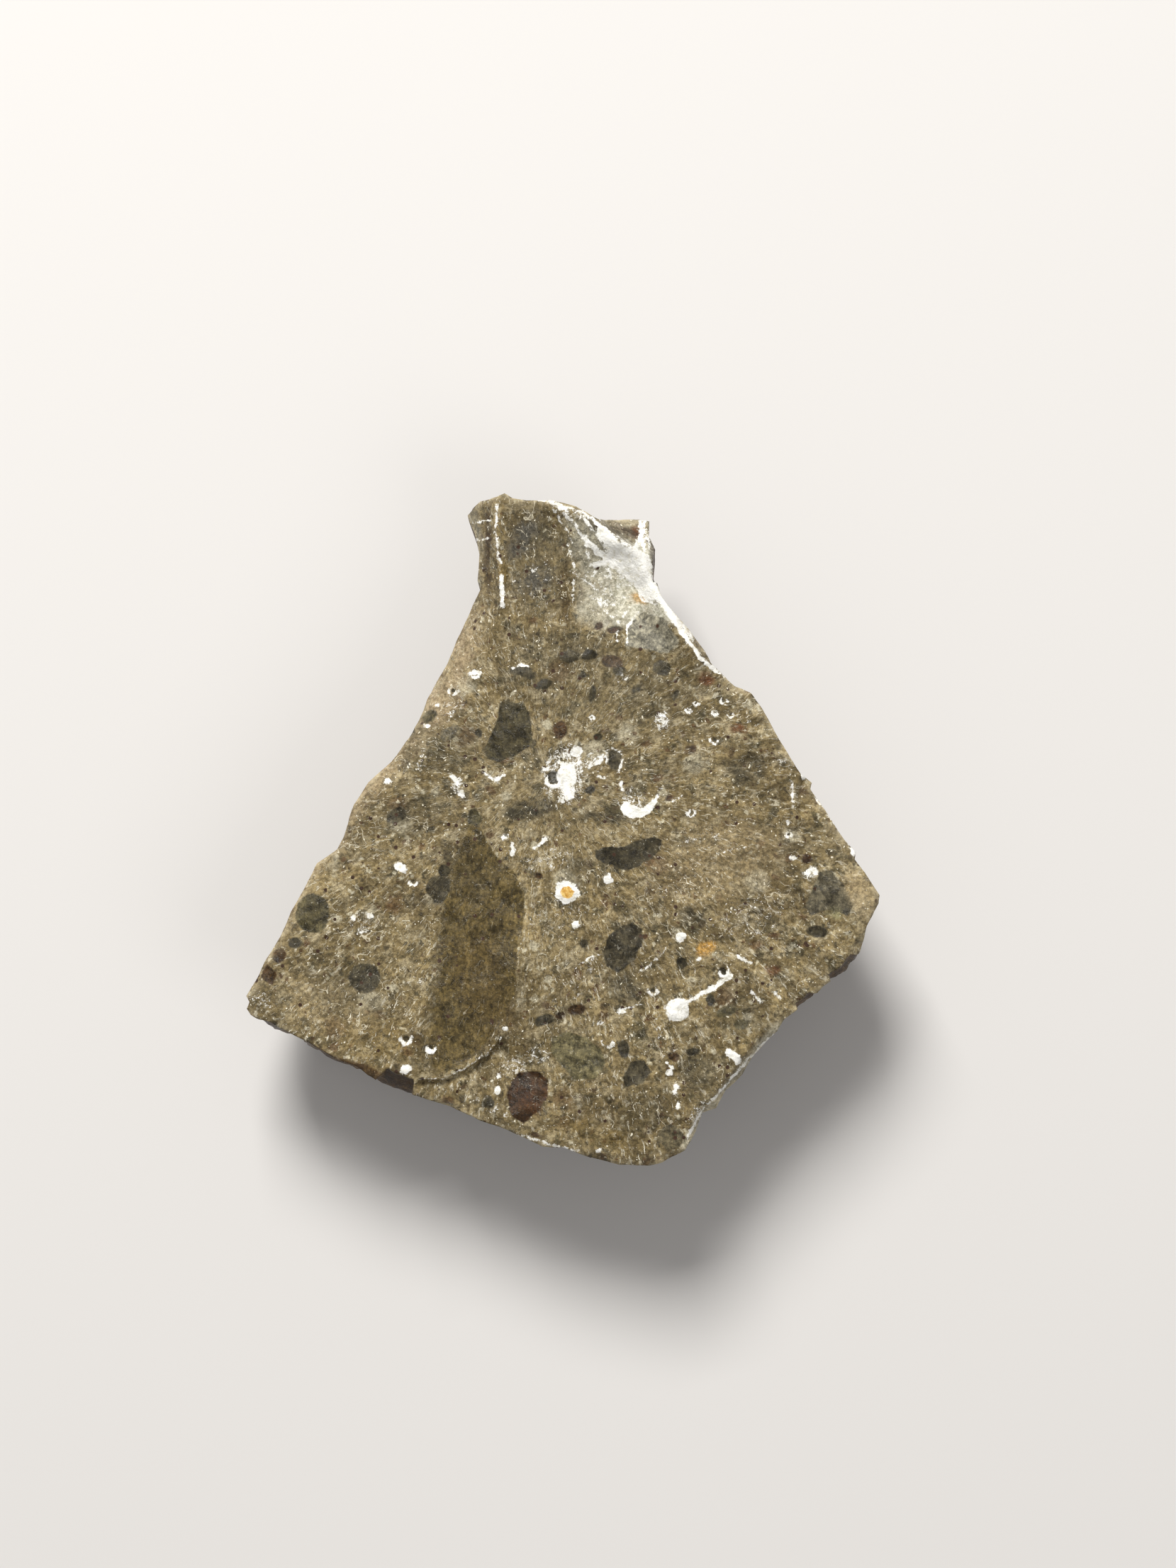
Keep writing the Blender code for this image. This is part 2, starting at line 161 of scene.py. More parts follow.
# Fine relief of the broken face: heights, how many of each small form, and their least and greatest radius.
HACKLE_CENTRE = (-0.5, 1.5)
HACKLE_HEIGHT = 0.03
GRAIN_HEIGHT = 0.042
DIMPLE_HEIGHT = 0.028
CRACK_HEIGHT = 0.05
PITS = (260, 0.045, 0.15)
KNOBS = (260, 0.05, 0.16)
UNDERSIDE_PITS = (320, 0.08, 0.34)
CHIP_COUNT = 110
PLAN_HALF_WIDTH = 9.4
PLAN_HALF_LENGTH = 9.9

# Mesh of the skin: distance between points on the face, the rim and the underside, and rows on the wall.
FACE_SPACING = 0.06
RIM_SPACING = 0.075
UNDER_SPACING = 0.135
SKIN_ROWS = 15

# Pits with a raised ring: place and radius. Each has painted shade in its middle and a painted highlight on
# the lower side of its ring.
RING_PITS = (
    (-4.62, -6.13, 0.16), (2.62, -4.7, 0.14), (3.75, 0.52, 0.1), (4.68, 3.8, 0.09), (4.42, 2.65, 0.1),
    (3.68, 3.52, 0.08), (3.9, 3.72, 0.07), (4.45, 3.45, 0.07), (4.9, 3.4, 0.09), (-3.91, -6.4, 0.13),
    (-0.29, 1.5, 0.22), (6.6, -0.13, 0.09), (-4.43, -1.52, 0.11), (-2.6, 4.6, 0.14), (-3.25, 4.1, 0.12),
    (-1.72, -0.16, 0.1), (4.68, -4.16, 0.14), (0.85, 3.3, 0.07), (1.05, -5.65, 0.07),
)

# Grains that stand a little proud: place, radius.
PROUD_GRAINS = (
    (1.31, -1.43, 0.19), (0.36, -2.77, 0.14), (3.34, -5.27, 0.42), (0.11, -1.84, 0.3),
    (4.99, -6.62, 0.28), (-4.62, -7.02, 0.2), (-1.95, -7.64, 0.15), (3.44, -3.15, 0.2), (2.9, 3.2, 0.26),
    (-4.79, -1.1, 0.22), (-1.2, 4.62, 0.34), (0.15, 5.12, 0.28), (0.72, 5.1, 0.22), (-0.6, 4.25, 0.22),
    (1.55, 4.7, 0.26),
)

# Clasts of each colour, drawn a little larger than listed. An oval is (x, y, half width, half height,
# turn in degrees).
CLAST_GROWTH = 0.035
CLAST_OVALS = {
    "grey_green": (
        (4.75, -5.32, 0.27, 0.17, 32), (5.22, -5.72, 0.2, 0.13, 30), (-3.95, 3.35, 0.22, 0.16, 40),
        (-7.37, -2.46, 0.5, 0.52, 0), (-2.63, 0.34, 0.21, 0.27, 0),
    ),
    "ink": (
        (4.3, -4.95, 0.1, 0.16, 10), (0.55, 4.55, 0.1, 0.08, 0), (2.15, 4.15, 0.12, 0.09, 30),
        (0.62, -3.35, 0.13, 0.1, 0), (-3.5, -1.2, 0.16, 0.16, 0), (7.45, -2.97, 0.27, 0.16, -12),
        (0.72, 5.11, 0.22, 0.13, 15), (1.62, 4.7, 0.16, 0.13, 0), (-0.6, 4.26, 0.24, 0.14, 15),
        (0.85, 3.97, 0.1, 0.21, -8), (1.01, 2.73, 0.12, 0.1, 0), (-0.3, 1.52, 0.22, 0.2, 0),
        (0.78, 1.2, 0.14, 0.1, 0), (-0.58, -5.57, 0.25, 0.17, 15), (3.78, -6.51, 0.17, 0.11, 0),
        (1.76, -6.43, 0.16, 0.26, 10), (-2.2, -8.05, 0.16, 0.13, 0), (-7.9, -3.34, 0.19, 0.14, -20),
        (4.68, -4.16, 0.12, 0.11, 0), (-2.52, 2.85, 0.1, 0.12, 0), (3.45, -3.9, 0.12, 0.16, 20),
    ),
    "slate": (
        (-4.55, 2.85, 0.18, 0.13, 20), (3.3, 3.95, 0.09, 0.14, -20), (-5.83, -4.36, 0.44, 0.43, 10),
        (-3.66, -1.74, 0.34, 0.38, 0), (0.17, 5.11, 0.27, 0.19, 5), (2.87, 4.75, 0.24, 0.22, 30),
        (-1.18, 4.62, 0.34, 0.15, -18), (1.47, 2.05, 0.18, 0.3, 5), (-4.9, 0.45, 0.3, 0.22, 30),
    ),
    "umber": (
        (-0.75, -1.35, 0.12, 0.09, 0), (-8.37, -3.67, 0.2, 0.19, 0), (1.4, 4.97, 0.32, 0.18, -15),
        (-0.1, 2.95, 0.17, 0.22, 0), (0.36, -5.27, 0.26, 0.15, 20), (-0.1, -5.45, 0.14, 0.1, 0),
        (3.22, -6.66, 0.14, 0.1, 0), (1.45, 5.9, 0.2, 0.1, 10), (3.12, 0.95, 0.1, 0.08, 0),
        (-0.85, -8.95, 0.12, 0.06, 0), (-2.37, -6.03, 0.15, 0.12, 0), (3.8, 2.4, 0.07, 0.1, 0),
    ),
    "russet": (
        (1.02, 6.02, 0.09, 0.14, -20), (7.12, -0.84, 0.15, 0.12, 0), (2.42, -3.1, 0.09, 0.08, 0),
    ),
    "dim_grey": (
        (3.15, -9, 0.34, 0.34, 40), (-3.3, 2.85, 0.3, 0.16, 25),
    ),
}

# Clasts with an outline of their own: colour name, points.
CLAST_SHAPES = (
    ("olive", (-2.8, 0.22), (-2.46, 0.22), (-2.28, -0.3), (-1.92, -0.75), (-1.46, -1.2), (-1.14, -1.9),
      (-1.14, -2.64), (-1.36, -3.5), (-1.38, -4.7), (-1.7, -5.45), (-2.3, -6.3), (-2.9, -6.88),
      (-3.6, -7.18), (-4.05, -7.1), (-4.02, -6.4), (-4.12, -5.64), (-3.92, -4.28), (-3.7, -2),
      (-3.1, -0.7)),
    ("deep_olive", (-1.88, 3.77), (-1.17, 3.76), (-0.97, 3.38), (-0.87, 2.57), (-1.14, 2.31),
      (-1.79, 1.98), (-2.27, 2.05), (-2.32, 2.44), (-2.05, 2.99), (-1.98, 3.35)),
    ("ink", (0.88, -0.62), (1.14, -0.48), (1.73, -0.46), (2.25, -0.26), (2.64, -0.16), (2.92, -0.3),
      (2.86, -0.56), (2.58, -0.88), (2.18, -1.12), (1.73, -1.18), (1.21, -1), (0.95, -0.9)),
    ("slate", (1.62, -2.79), (2.04, -2.7), (2.33, -2.89), (2.33, -3.32), (2.07, -3.84), (1.59, -4.23),
      (1.26, -4.03), (1.13, -3.64), (1.29, -3.12)),
    ("ash", (7.51, -1.17), (7.84, -1.17), (8.23, -1.62), (8.49, -2.21), (8.36, -2.53), (7.77, -2.34),
      (7.18, -2.53), (7.09, -2.21), (7.31, -1.56)),
    ("green", (-0.36, -6.06), (0.16, -5.91), (0.68, -6.1), (1.12, -6.43), (1.24, -6.81), (0.98, -7.29),
      (0.31, -7.33), (-0.07, -6.96), (-0.4, -6.47)),
    ("russet", (-1.33, -7.1), (-0.74, -7.07), (-0.44, -7.36), (-0.48, -7.85), (-0.74, -8.29),
      (-1.18, -8.6), (-1.55, -8.37), (-1.7, -7.77), (-1.55, -7.4)),
    ("slate", (1.94, -6.77), (2.39, -6.73), (2.58, -7.1), (2.31, -7.44), (1.72, -7.59), (1.72, -7.25)),
    ("umber", (-8.95, -4.3), (-8.72, -3.95), (-8.35, -4.2), (-8.55, -4.62)),
    ("smoke", (1.78, 5.35), (1.88, 6.05), (2.35, 6.4), (2.95, 6.25), (3.4, 5.55), (3.1, 5.15),
      (2.4, 5.3)),
)

# Soft stains and tints, laid one over the other: an oval, colour name, strength.
STAINS = (
    (-0.92, -7.95, 0.3, 0.5, 15, "rust", 0.45), (1.2, 4.3, 3.2, 1.3, -12, "dim_grey", 0.32),
    (4.6, -0.9, 2.1, 1.2, 15, "sand", 0.32), (-6.8, -5.3, 1.7, 0.8, -22, "sand", 0.3),
    (-4.3, 2.6, 0.9, 1.1, 35, "grey_green", 0.4), (5.36, 1.72, 0.62, 0.52, 20, "slate", 0.8),
    (-2.35, -4.6, 0.85, 1.8, 12, "brown_olive", 0.9), (-4.92, -2.17, 0.3, 0.24, 0, "rust", 0.55),
    (-4.6, -1.9, 0.9, 0.5, 0, "brown_olive", 0.45), (4.2, 4.43, 0.27, 0.17, 0, "rust", 1),
    (5.04, 2.93, 0.22, 0.17, 0, "rust", 1), (6.14, -4.1, 0.22, 0.19, 0, "rust", 1),
    (5.72, -3.28, 0.19, 0.14, 0, "rust", 0.8), (2.2, 6.75, 0.3, 0.16, -15, "orange", 0.85),
    (4.19, -3.48, 0.27, 0.22, 20, "orange", 0.85), (2.08, 8.86, 0.26, 0.16, 30, "rust", 1),
    (7.93, -2.44, 0.25, 0.18, 10, "lichen", 1), (-1.75, 7.6, 0.22, 0.42, 0, "ochre", 0.7),
    (0.02, 7, 0.17, 1.2, -3, "brown_olive", 0.85), (-2.9, -1.3, 0.8, 1.1, 10, "slate", 0.55),
    (-2.22, 8.2, 0.11, 1.5, 0, "umber", 0.85), (1.3, -8.4, 1.8, 0.8, -8, "brown_olive", 0.35),
    (2.75, 5.6, 0.62, 0.5, -30, "slate", 0.75), (-5.6, -6, 1.5, 0.7, -22, "ochre", 0.35),
    (-1, 0.62, 0.95, 0.32, 6, "slate", 1), (1.2, 0.36, 0.8, 0.18, 0, "slate", 0.85),
    (0.43, -1.14, 0.5, 0.32, 0, "dim_grey", 0.65), (2.12, 1.14, 0.34, 0.24, 0, "grey_green", 0.75),
    (1.72, -4.68, 0.55, 0.5, -10, "slate", 0.75), (2.24, -5.84, 0.24, 0.48, 10, "grey_green", 0.75),
    (-4.34, -6.08, 0.2, 0.35, 10, "russet", 0.5), (-4.56, -6.53, 0.18, 0.15, 0, "rust", 0.5),
    (4, -1.2, 2.2, 0.4, 24, "brown_olive", 0.35), (-1, 9.3, 0.6, 0.3, 0, "brown_olive", 0.45),
    (-0.75, 7.9, 0.85, 1.6, 8, "slate", 0.5), (1.2, 8.75, 0.9, 0.35, -25, "slate", 0.55),
    (-4.2, 0.5, 1.1, 0.5, 40, "dim_grey", 0.45), (-3.2, 2.3, 0.8, 0.6, 30, "dim_grey", 0.45),
    (0.9, -8.9, 1.2, 0.4, -15, "ochre", 0.35), (5.2, -5.6, 0.7, 0.5, 30, "dim_grey", 0.45),
    (4.6, -7.3, 1, 0.5, 40, "dim_grey", 0.35), (-6.3, -4.9, 1.3, 0.8, -20, "dim_grey", 0.35),
    (0.3, 5.4, 1.9, 0.55, -4, "slate", 0.45), (-0.9, 8.2, 1.05, 1.7, 5, "ash", 0.28),
    (2.66, 7.9, 0.12, 1.35, 3, "umber", 0.95), (-1.25, 8.62, 0.78, 0.34, 52, "lead", 0.95),
    (-0.85, 7.35, 0.66, 0.42, 25, "lead", 0.9), (-2.64, 8.5, 0.2, 1.4, 0, "pewter", 0.45),
    (0.72, 8.3, 0.52, 1.05, 28, "pewter", 0.85), (0.95, 6.6, 0.55, 0.6, 0, "pewter", 0.5),
    (1.75, 8.85, 0.42, 0.14, -8, "umber", 0.9), (8.72, -1.95, 0.42, 0.95, 28, "sand", 0.7),
    (3.95, -7.1, 0.66, 0.62, 0, "dim_grey", 0.75), (-2.84, -3.2, 0.06, 2.5, 2, "ochre", 0.4),
    (2.3, -8.2, 0.9, 0.7, 20, "grey_green", 0.4), (6.2, -1.9, 0.9, 0.7, 10, "brown_olive", 0.3),
)

# White grains with clean edges, loose white patches as an oval and a strength, and lines as a half width and
# points. The neck's cracks are lines that also show in the relief. Some patches are painted glints, and the
# lines along the neck ridge, the crest, the right rim, the lower right bevel, the bottom edge and the lower
# left ledge are painted highlights.
WHITE_OVALS = (
    (1.31, -1.43, 0.16, 0.15, 0), (0.36, -2.77, 0.12, 0.09, 10), (3.34, -5.27, 0.36, 0.35, 15),
    (4.95, -6.6, 0.27, 0.12, -22), (5.12, -6.78, 0.1, 0.12, 0), (3.1, -7.12, 0.11, 0.1, 10),
    (3.28, -7.55, 0.09, 0.16, -14), (3.36, -8.1, 0.06, 0.13, -10), (-4.62, -7.02, 0.17, 0.15, 0),
    (-1.95, -7.64, 0.11, 0.12, 0), (-1.93, -7.25, 0.07, 0.08, 0), (-4.79, -1.1, 0.2, 0.1, -30),
    (-5.67, -2.53, 0.12, 0.1, 0), (-6.2, -2.58, 0.07, 0.1, 0), (3.44, -3.15, 0.15, 0.15, -35),
    (0.14, 1.04, 0.13, 0.16, 0), (0.1, 1.58, 0.29, 0.4, -8), (0.38, 2.3, 0.16, 0.15, 40),
    (-0.5, 1.79, 0.14, 0.07, 20), (1.05, 1.56, 0.14, 0.05, -12), (8.5, -0.6, 0.12, 0.16, 30),
    (0.98, 1.98, 0.16, 0.06, 40), (-0.55, -0.26, 0.1, 0.09, 0), (-2.99, 1.07, 0.07, 0.13, 8),
    (6.57, 0.23, 0.07, 0.08, 0), (-5.15, 1.42, 0.1, 0.08, 0), (7.03, 1.58, 0.08, 0.1, 0),
    (-2.6, 4.62, 0.1, 0.1, 0), (-3.72, 3.68, 0.08, 0.06, 0), (-4.05, 3.05, 0.1, 0.07, 0),
    (1.72, -5.32, 0.12, 0.07, 0), (3.96, -3.77, 0.07, 0.07, 0), (-1.7, -5.84, 0.07, 0.06, 0),
    (1.01, -9.41, 0.09, 0.07, 30), (6.73, -0.81, 0.14, 0.07, 10), (2.25, 7.95, 0.42, 0.22, -40),
)
WHITE_SHAPES = (
    ((1.68, 0.74), (1.8, 0.93), (2, 0.74), (2.34, 0.66), (2.62, 0.9), (2.84, 1.12), (2.78, 0.84),
      (2.56, 0.52), (2.28, 0.37), (1.94, 0.34), (1.72, 0.46)),
    ((-0.22, -1.6), (0.05, -1.48), (0.36, -1.58), (0.46, -1.85), (0.3, -2.12), (-0.02, -2.16),
      (-0.24, -1.95)),
)
WHITE_PATCHES = (
    (0.06, 1.66, 0.72, 1.05, -12, 0.82), (0.98, 2.05, 0.52, 0.44, 10, 0.5),
    (2.05, 0.85, 0.5, 0.45, 0, 0.6), (7.25, -1.23, 0.28, 0.2, 20, 1), (2.9, 3.2, 0.26, 0.34, 0, 0.8),
    (-3.1, 1.3, 0.22, 0.36, 10, 0.8), (-1.5, -6.95, 0.55, 0.28, 10, 0.55), (2, 7.75, 1.05, 0.55, -42, 1),
    (1.3, 7.1, 0.75, 0.95, 0, 0.55), (0.35, 9.3, 0.85, 0.16, -14, 0.7), (3.55, 5.9, 0.45, 0.14, -52, 1),
    (5.56, -2.6, 1.2, 0.75, 15, 0.35), (4.2, -0.3, 0.8, 0.35, 10, 0.35),
    (-5.9, -2.75, 0.5, 0.45, 0, 0.45), (-4.35, -4.45, 0.35, 0.25, 0, 0.4),
    (-3.3, 3.6, 0.9, 0.35, 50, 0.4), (-2.2, -8.1, 0.9, 0.25, -18, 0.4), (-0.9, 7.2, 0.8, 0.8, 0, 0.3),
    (5.3, 3.3, 0.5, 0.4, 0, 0.35), (2.9, -6.3, 0.35, 1.2, 18, 0.3), (0.9, -3.9, 0.6, 0.25, 15, 0.4),
    (-4.3, 1.9, 0.6, 0.3, 45, 0.4), (1.7, 4.55, 0.25, 0.25, 0, 0.6), (-0.45, -0.9, 0.9, 0.5, 20, 0.4),
    (1.65, 8.35, 0.65, 0.28, -35, 1), (6.5, 1.9, 0.5, 0.2, -58, 0.45), (6.72, 1, 0.5, 0.12, -85, 0.6),
    (2.35, 8.65, 0.16, 0.5, 0, 0.7), (-0.3, -2.5, 1.2, 1, 20, 0.28), (0.2, -4.6, 0.9, 0.6, 20, 0.3),
    (3.4, -1.7, 1.5, 0.8, 20, 0.22), (-0.8, -6.6, 0.5, 0.35, 0, 0.5), (3.9, -8.3, 0.2, 0.6, -35, 0.5),
    (-8.9, -5, 0.4, 0.3, -20, 0.5),
)
NECK_CRACKS = (
    (0.02, (-0.35, 9.5), (0, 8.95), (0.25, 8.45)), (0.024, (0.1, 9.2), (0.45, 8.8), (0.85, 8.25)),
)
WHITE_LINES = (
    (0.03, (-0.3, 9.6), (0.3, 9.05), (0.62, 8.45), (0.8, 7.8)),
    (0.026, (0.45, 9.35), (0.95, 8.7), (1.25, 8.2)), (0.022, (0.15, 8.4), (0.32, 7.6), (0.25, 6.7)),
    (0.024, (-2.7, 9.1), (-2.15, 9.12)), (0.022, (-2.65, 8.55), (-2.2, 8.58)),
    (0.022, (-2.6, 7.7), (-2.25, 7.74)), (0.06, (2.3, 9.2), (2.28, 8.7), (2.1, 8.25)),
    (0.026, (1.95, 6.55), (1.62, 6.05), (1.56, 5.55)),
    (0.06, (3.62, -5.05), (3.95, -4.88), (4.45, -4.58), (4.9, -4.26)),
    (0.035, (4.9, -4.26), (4.8, -3.98)), (0.085, (4.6, -4.46), (4.86, -4.28)),
    (0.045, (1.1, -6.2), (1.18, -6.34), (1.38, -6.38), (1.46, -6.2)),
    (0.045, (-2.31, 1.66), (-1.98, 1.45), (-1.72, 1.62)), (0.06, (-3.3, 1.6), (-3.12, 1.38)),
    (0.055, (-1.5, -0.42), (-1.52, -0.72)), (0.045, (-0.85, -0.52), (-0.5, -0.24)),
    (0.035, (1.68, 1.42), (1.72, 1.2)), (0.03, (1.2, 2.28), (1.4, 2.42), (1.66, 2.3)),
    (0.025, (1.6, 1.7), (1.72, 2.05), (1.66, 2.32)), (0.035, (0.72, 1.8), (0.9, 2.1), (1.15, 2.2)),
    # Painted highlights on the lit edge of the neck ridge and along the crest; the broader lines are the
    # neck's white with painted sheen.
    (0.03, (-1.98, 9.6), (-1.98, 8.45), (-1.86, 7.85)), (0.06, (-1.84, 7.45), (-1.8, 6.6)),
    (0.06, (-0.75, 9.72), (-0.35, 9.66), (0.05, 9.45)),
    (0.03, (0.1, 9.48), (0.55, 9.34), (1.05, 8.98), (1.45, 8.62)),
    (0.095, (0.62, 8.55), (1, 8.15), (1.4, 7.95)), (0.05, (0.75, 9.2), (1.1, 8.85), (1.3, 8.5)),
    (0.19, (1.16, 8.72), (1.62, 8.17), (2.1, 7.95)), (0.27, (1.5, 7.98), (2.1, 7.55), (2.55, 7)),
    (0.13, (2.6, 7.1), (3, 6.55), (3.32, 6.1)),
    (0.055, (3.25, 6.15), (3.6, 5.58), (4.05, 5.02), (4.5, 4.66)),
    (0.045, (2.42, 9.15), (2.3, 8.7), (2.4, 8.2)), (0.03, (2.52, 8.9), (2.5, 8.3)),
    (0.09, (0.95, 7.8), (1.5, 7.9), (1.95, 7.8)), (0.03, (1.85, 5.45), (1.88, 6.05), (2.2, 6.42)),
    (0.03, (2.1, 7.25), (2.35, 6.75), (2.75, 6.6)),
    (0.018, (0.2, 7.6), (0.85, 7.2), (1.1, 6.6), (1.6, 6.1)),
    # Painted highlights along the right rim and on the edge of the right step.
    (0.02, (4.5, 4.66), (4.98, 4.32), (5.45, 4.1)), (0.028, (6.1, 3.15), (6.45, 2.65), (6.85, 1.95)),
    (0.028, (7.4, 1), (7.95, 0.2), (8.4, -0.45)), (0.03, (6.72, 1.35), (6.7, 0.85)),
    # Painted highlights on the lower left ledge, along the lower right bevel and along the bottom edge.
    (0.014, (-4.3, -7.3), (-3.6, -7.3), (-2.9, -7), (-2.3, -6.6), (-1.85, -6.1)),
    (0.036, (3.62, -9.05), (4.05, -8.25), (5.1, -7.1), (6.15, -6.02)),
    (0.035, (-1.3, -8.95), (-0.4, -9.22), (0.4, -9.42)), (0.018, (1.57, -5.28), (2.3, -5.1)),
    (0.015, (0.3, -4.1), (0.75, -3.75), (1.05, -3.62)), (0.016, (4.5, -0.7), (4.9, -0.56), (5.35, -0.5)),
    (0.02, (2.2, -4.2), (2.75, -3.75), (3.1, -3.35)), (0.03, (-1.49, 4.76), (-1.3, 4.86), (-1.07, 4.8)),
    (0.04, (3.05, -6.85), (3.2, -7)), (0.036, (5.5, -4.75), (5.8, -5.05)),
    (0.04, (6.2, -4.75), (6.35, -4.95)), (0.036, (5.1, -3.7), (5.5, -3.9)),
    (0.03, (-6.05, -3.02), (-5.78, -2.98)), (0.014, (2.6, 1.35), (2.9, 1.2), (3.05, 1.32)),
    (0.02, (3.2, 0.85), (3.45, 0.98)), (0.012, (0.1, -2), (0.3, -2.4)),
)
AMBER_GRAIN = (0.11, -1.84, 0.21, 0.19, 0)
# The neck's bright edge: milky stone with a painted sheen.
MILKY_SHEEN_EDGE = ((2.15, 7.7), 0.9, 0.55, -42)

# Linear colours of the clasts and stains.
TONES = {
    "ink": (0.021, 0.018, 0.01), "slate": (0.036, 0.031, 0.019), "dim_grey": (0.088, 0.074, 0.043),
    "green": (0.096, 0.084, 0.043), "grey_green": (0.05, 0.043, 0.021), "olive": (0.07, 0.051, 0.018),
    "deep_olive": (0.032, 0.027, 0.013), "russet": (0.024, 0.009, 0.002), "umber": (0.034, 0.017, 0.006),
    "pewter": (0.29, 0.272, 0.205), "brown_olive": (0.066, 0.042, 0.014), "rust": (0.112, 0.044, 0.016),
    "orange": (0.54, 0.29, 0.055), "lichen": (0.24, 0.215, 0.11), "ochre": (0.24, 0.165, 0.052),
    "sand": (0.42, 0.325, 0.18), "ash": (0.078, 0.069, 0.046), "lead": (0.08, 0.073, 0.058),
    "smoke": (0.205, 0.194, 0.15),
}

# Linear colours of the ground, its specks and fibres, the white marks and the wall. Some are painted light:
# the lit left strip, the sheen of the neck, the highlight on the rim, the glints and the highlight threads.
PAINT = {
    "olive": (0.158, 0.118, 0.054), "tan": (0.25, 0.192, 0.096), "pale": (0.37, 0.312, 0.2),
    "dark": (0.066, 0.055, 0.029), "black_grain": (0.055, 0.048, 0.03), "brown_grain": (0.085, 0.042, 0.018),
    "light_grain": (0.48, 0.44, 0.33), "bright_fibre": (0.62, 0.57, 0.44), "dark_fibre": (0.06, 0.042, 0.02),
    "dull_dust": (0.24, 0.178, 0.098), "bright_dust": (0.5, 0.39, 0.24), "dull_milk": (0.44, 0.42, 0.31),
    "bright_milk": (0.84, 0.81, 0.68), "clast_pale": (0.17, 0.14, 0.085), "clast_spark": (0.4, 0.34, 0.22),
    "brown_speck": (0.05, 0.026, 0.015), "glint": (0.86, 0.82, 0.68), "cream_speck": (0.8, 0.75, 0.6),
    "thread": (0.72, 0.66, 0.5), "cream": (0.72, 0.69, 0.57), "white": (0.95, 0.94, 0.89),
    "amber": (0.6, 0.3, 0.05), "gold": (0.86, 0.6, 0.2), "worn_rim": (0.66, 0.56, 0.36),
    "rind_dark": (0.02, 0.01, 0.005), "rind_brown": (0.085, 0.046, 0.021), "wall_shade": (0.44, 0.33, 0.23),
}

# Fragments of the ground: scale, share that is dark, share that is light, strength.
FRAGMENTS = ((1.05, 0.07, 0.04, 0.55), (2.4, 0.13, 0.06, 0.72), (5.6, 0.18, 0.12, 0.8))
# Cream specks: scale, rarity, size. Threads, painted highlights on fine edges: scale, where their noise is
# read.
CREAM_SPECKS = ((6.4, 0.9, 0.2), (2.9, 0.945, 0.13), (12.0, 0.88, 0.26))
HIGHLIGHT_THREADS = ((1.15, (3.0, 1.0, 8.0)), (2.3, (9.0, 4.0, 2.0)))
# Fibres: how many fan out round the face, and how fast they change along their length.
FIBRE_COUNT = 88.0
FIBRE_RATE = 3.0
GLOSS = 0.22
BUMP_DEPTH = 0.00008

# Studio, in metres, but the camera's sensor, reach and view height in millimetres.
FLOOR_SIZE = 1.6
FLOOR_HEIGHT = -0.00002
FLOOR_COLOUR = (0.66, 0.645, 0.63)
CAMERA_PLACE = (0.00075, 0.00133, 0.1546)
SENSOR_SIZE = 36.0
CAMERA_REACH = 150.0
VIEW_HEIGHT = 46.08
LIGHT_AIM = (0.0, 0.0, 0.004)
# Lights: name, place, size, power and colour.
LIGHTS = (
    ("key", (-0.05, 0.18, 0.19), 0.095, 0.945, (1.0, 0.985, 0.955)),
    ("fill", (0.16, -0.12, 0.22), 0.16, 0.12, (1.0, 0.98, 0.97)),
)
WORLD_COLOUR = (1.0, 0.985, 0.97, 1.0)
WORLD_STRENGTH = 0.3


def path_offset(x, y, path):
    """Distance to a path, positive on its left, and the share of its length at the nearest point."""
    nearest = np.full(x.shape, 1e9)
    offset = np.zeros(x.shape)
    along = np.zeros(x.shape)
    run = 0.0
    for (x0, y0), (x1, y1) in zip(path, path[1:]):
        dx = x1 - x0
        dy = y1 - y0
        length = math.hypot(dx, dy)
        share = np.clip(((x - x0) * dx + (y - y0) * dy) / length ** 2, 0.0, 1.0)
        ex = x - x0 - share * dx
        ey = y - y0 - share * dy
        reach = np.hypot(ex, ey)
        closer = reach < nearest - 1e-9
        side = np.where(dx * ey - dy * ex < 0.0, -1.0, 1.0)
        offset = np.where(closer, reach * side, offset)
        along = np.where(closer, run + share * length, along)
        nearest = np.minimum(nearest, reach)
        run += length
    return offset, along / run


def ease(value, low, high):
    """0 below low, 1 above high, with a smooth passage between."""
    share = np.clip((value - low) / (high - low), 0.0, 1.0)
    return share * share * (3.0 - 2.0 * share)


def ends_fade(run, start, finish):
    """1 along a path, easing to 0 before the start share and past the finish share of its length."""
    return ease(run, 0.0, start) * (1.0 - ease(run, finish, 1.0))


def soft_ramp(distance, softness):
    """Nearly 0 for negative distances, then rising one for one after a rounded start."""
    return 0.5 * (distance + np.sqrt(distance * distance + softness * softness))


def turned_place(x, y, centre, half_x, half_y, turn):
    """Places seen from an oval's centre, along its axes, in half sizes."""
    c = math.cos(math.radians(turn))
    s = math.sin(math.radians(turn))
    u = ((x - centre[0]) * c + (y - centre[1]) * s) / half_x
    v = ((y - centre[1]) * c - (x - centre[0]) * s) / half_y
    return u, v


def bump(x, y, centre, half_x, half_y, turn=0.0):
    """A smooth mound of height 1 over an oval."""
    u, v = turned_place(x, y, centre, half_x, half_y, turn)
    return np.clip(1.0 - u * u - v * v, 0.0, 1.0) ** 1.5


def oval_gap(x, y, oval):
    """Roughly the distance outside an oval, negative inside it."""
    cx, cy, half_x, half_y, turn = oval
    u, v = turned_place(x, y, (cx, cy), half_x, half_y, turn)
    return (np.hypot(u, v) - 1.0) * min(half_x, half_y)


def soft_cover(x, y, oval, strength, fade):
    """Strength inside an oval, easing to 0 a little outside it."""
    gap = oval_gap(x, y, oval) / min(oval[2], oval[3])
    return strength * ease(-gap, -fade, 0.5)


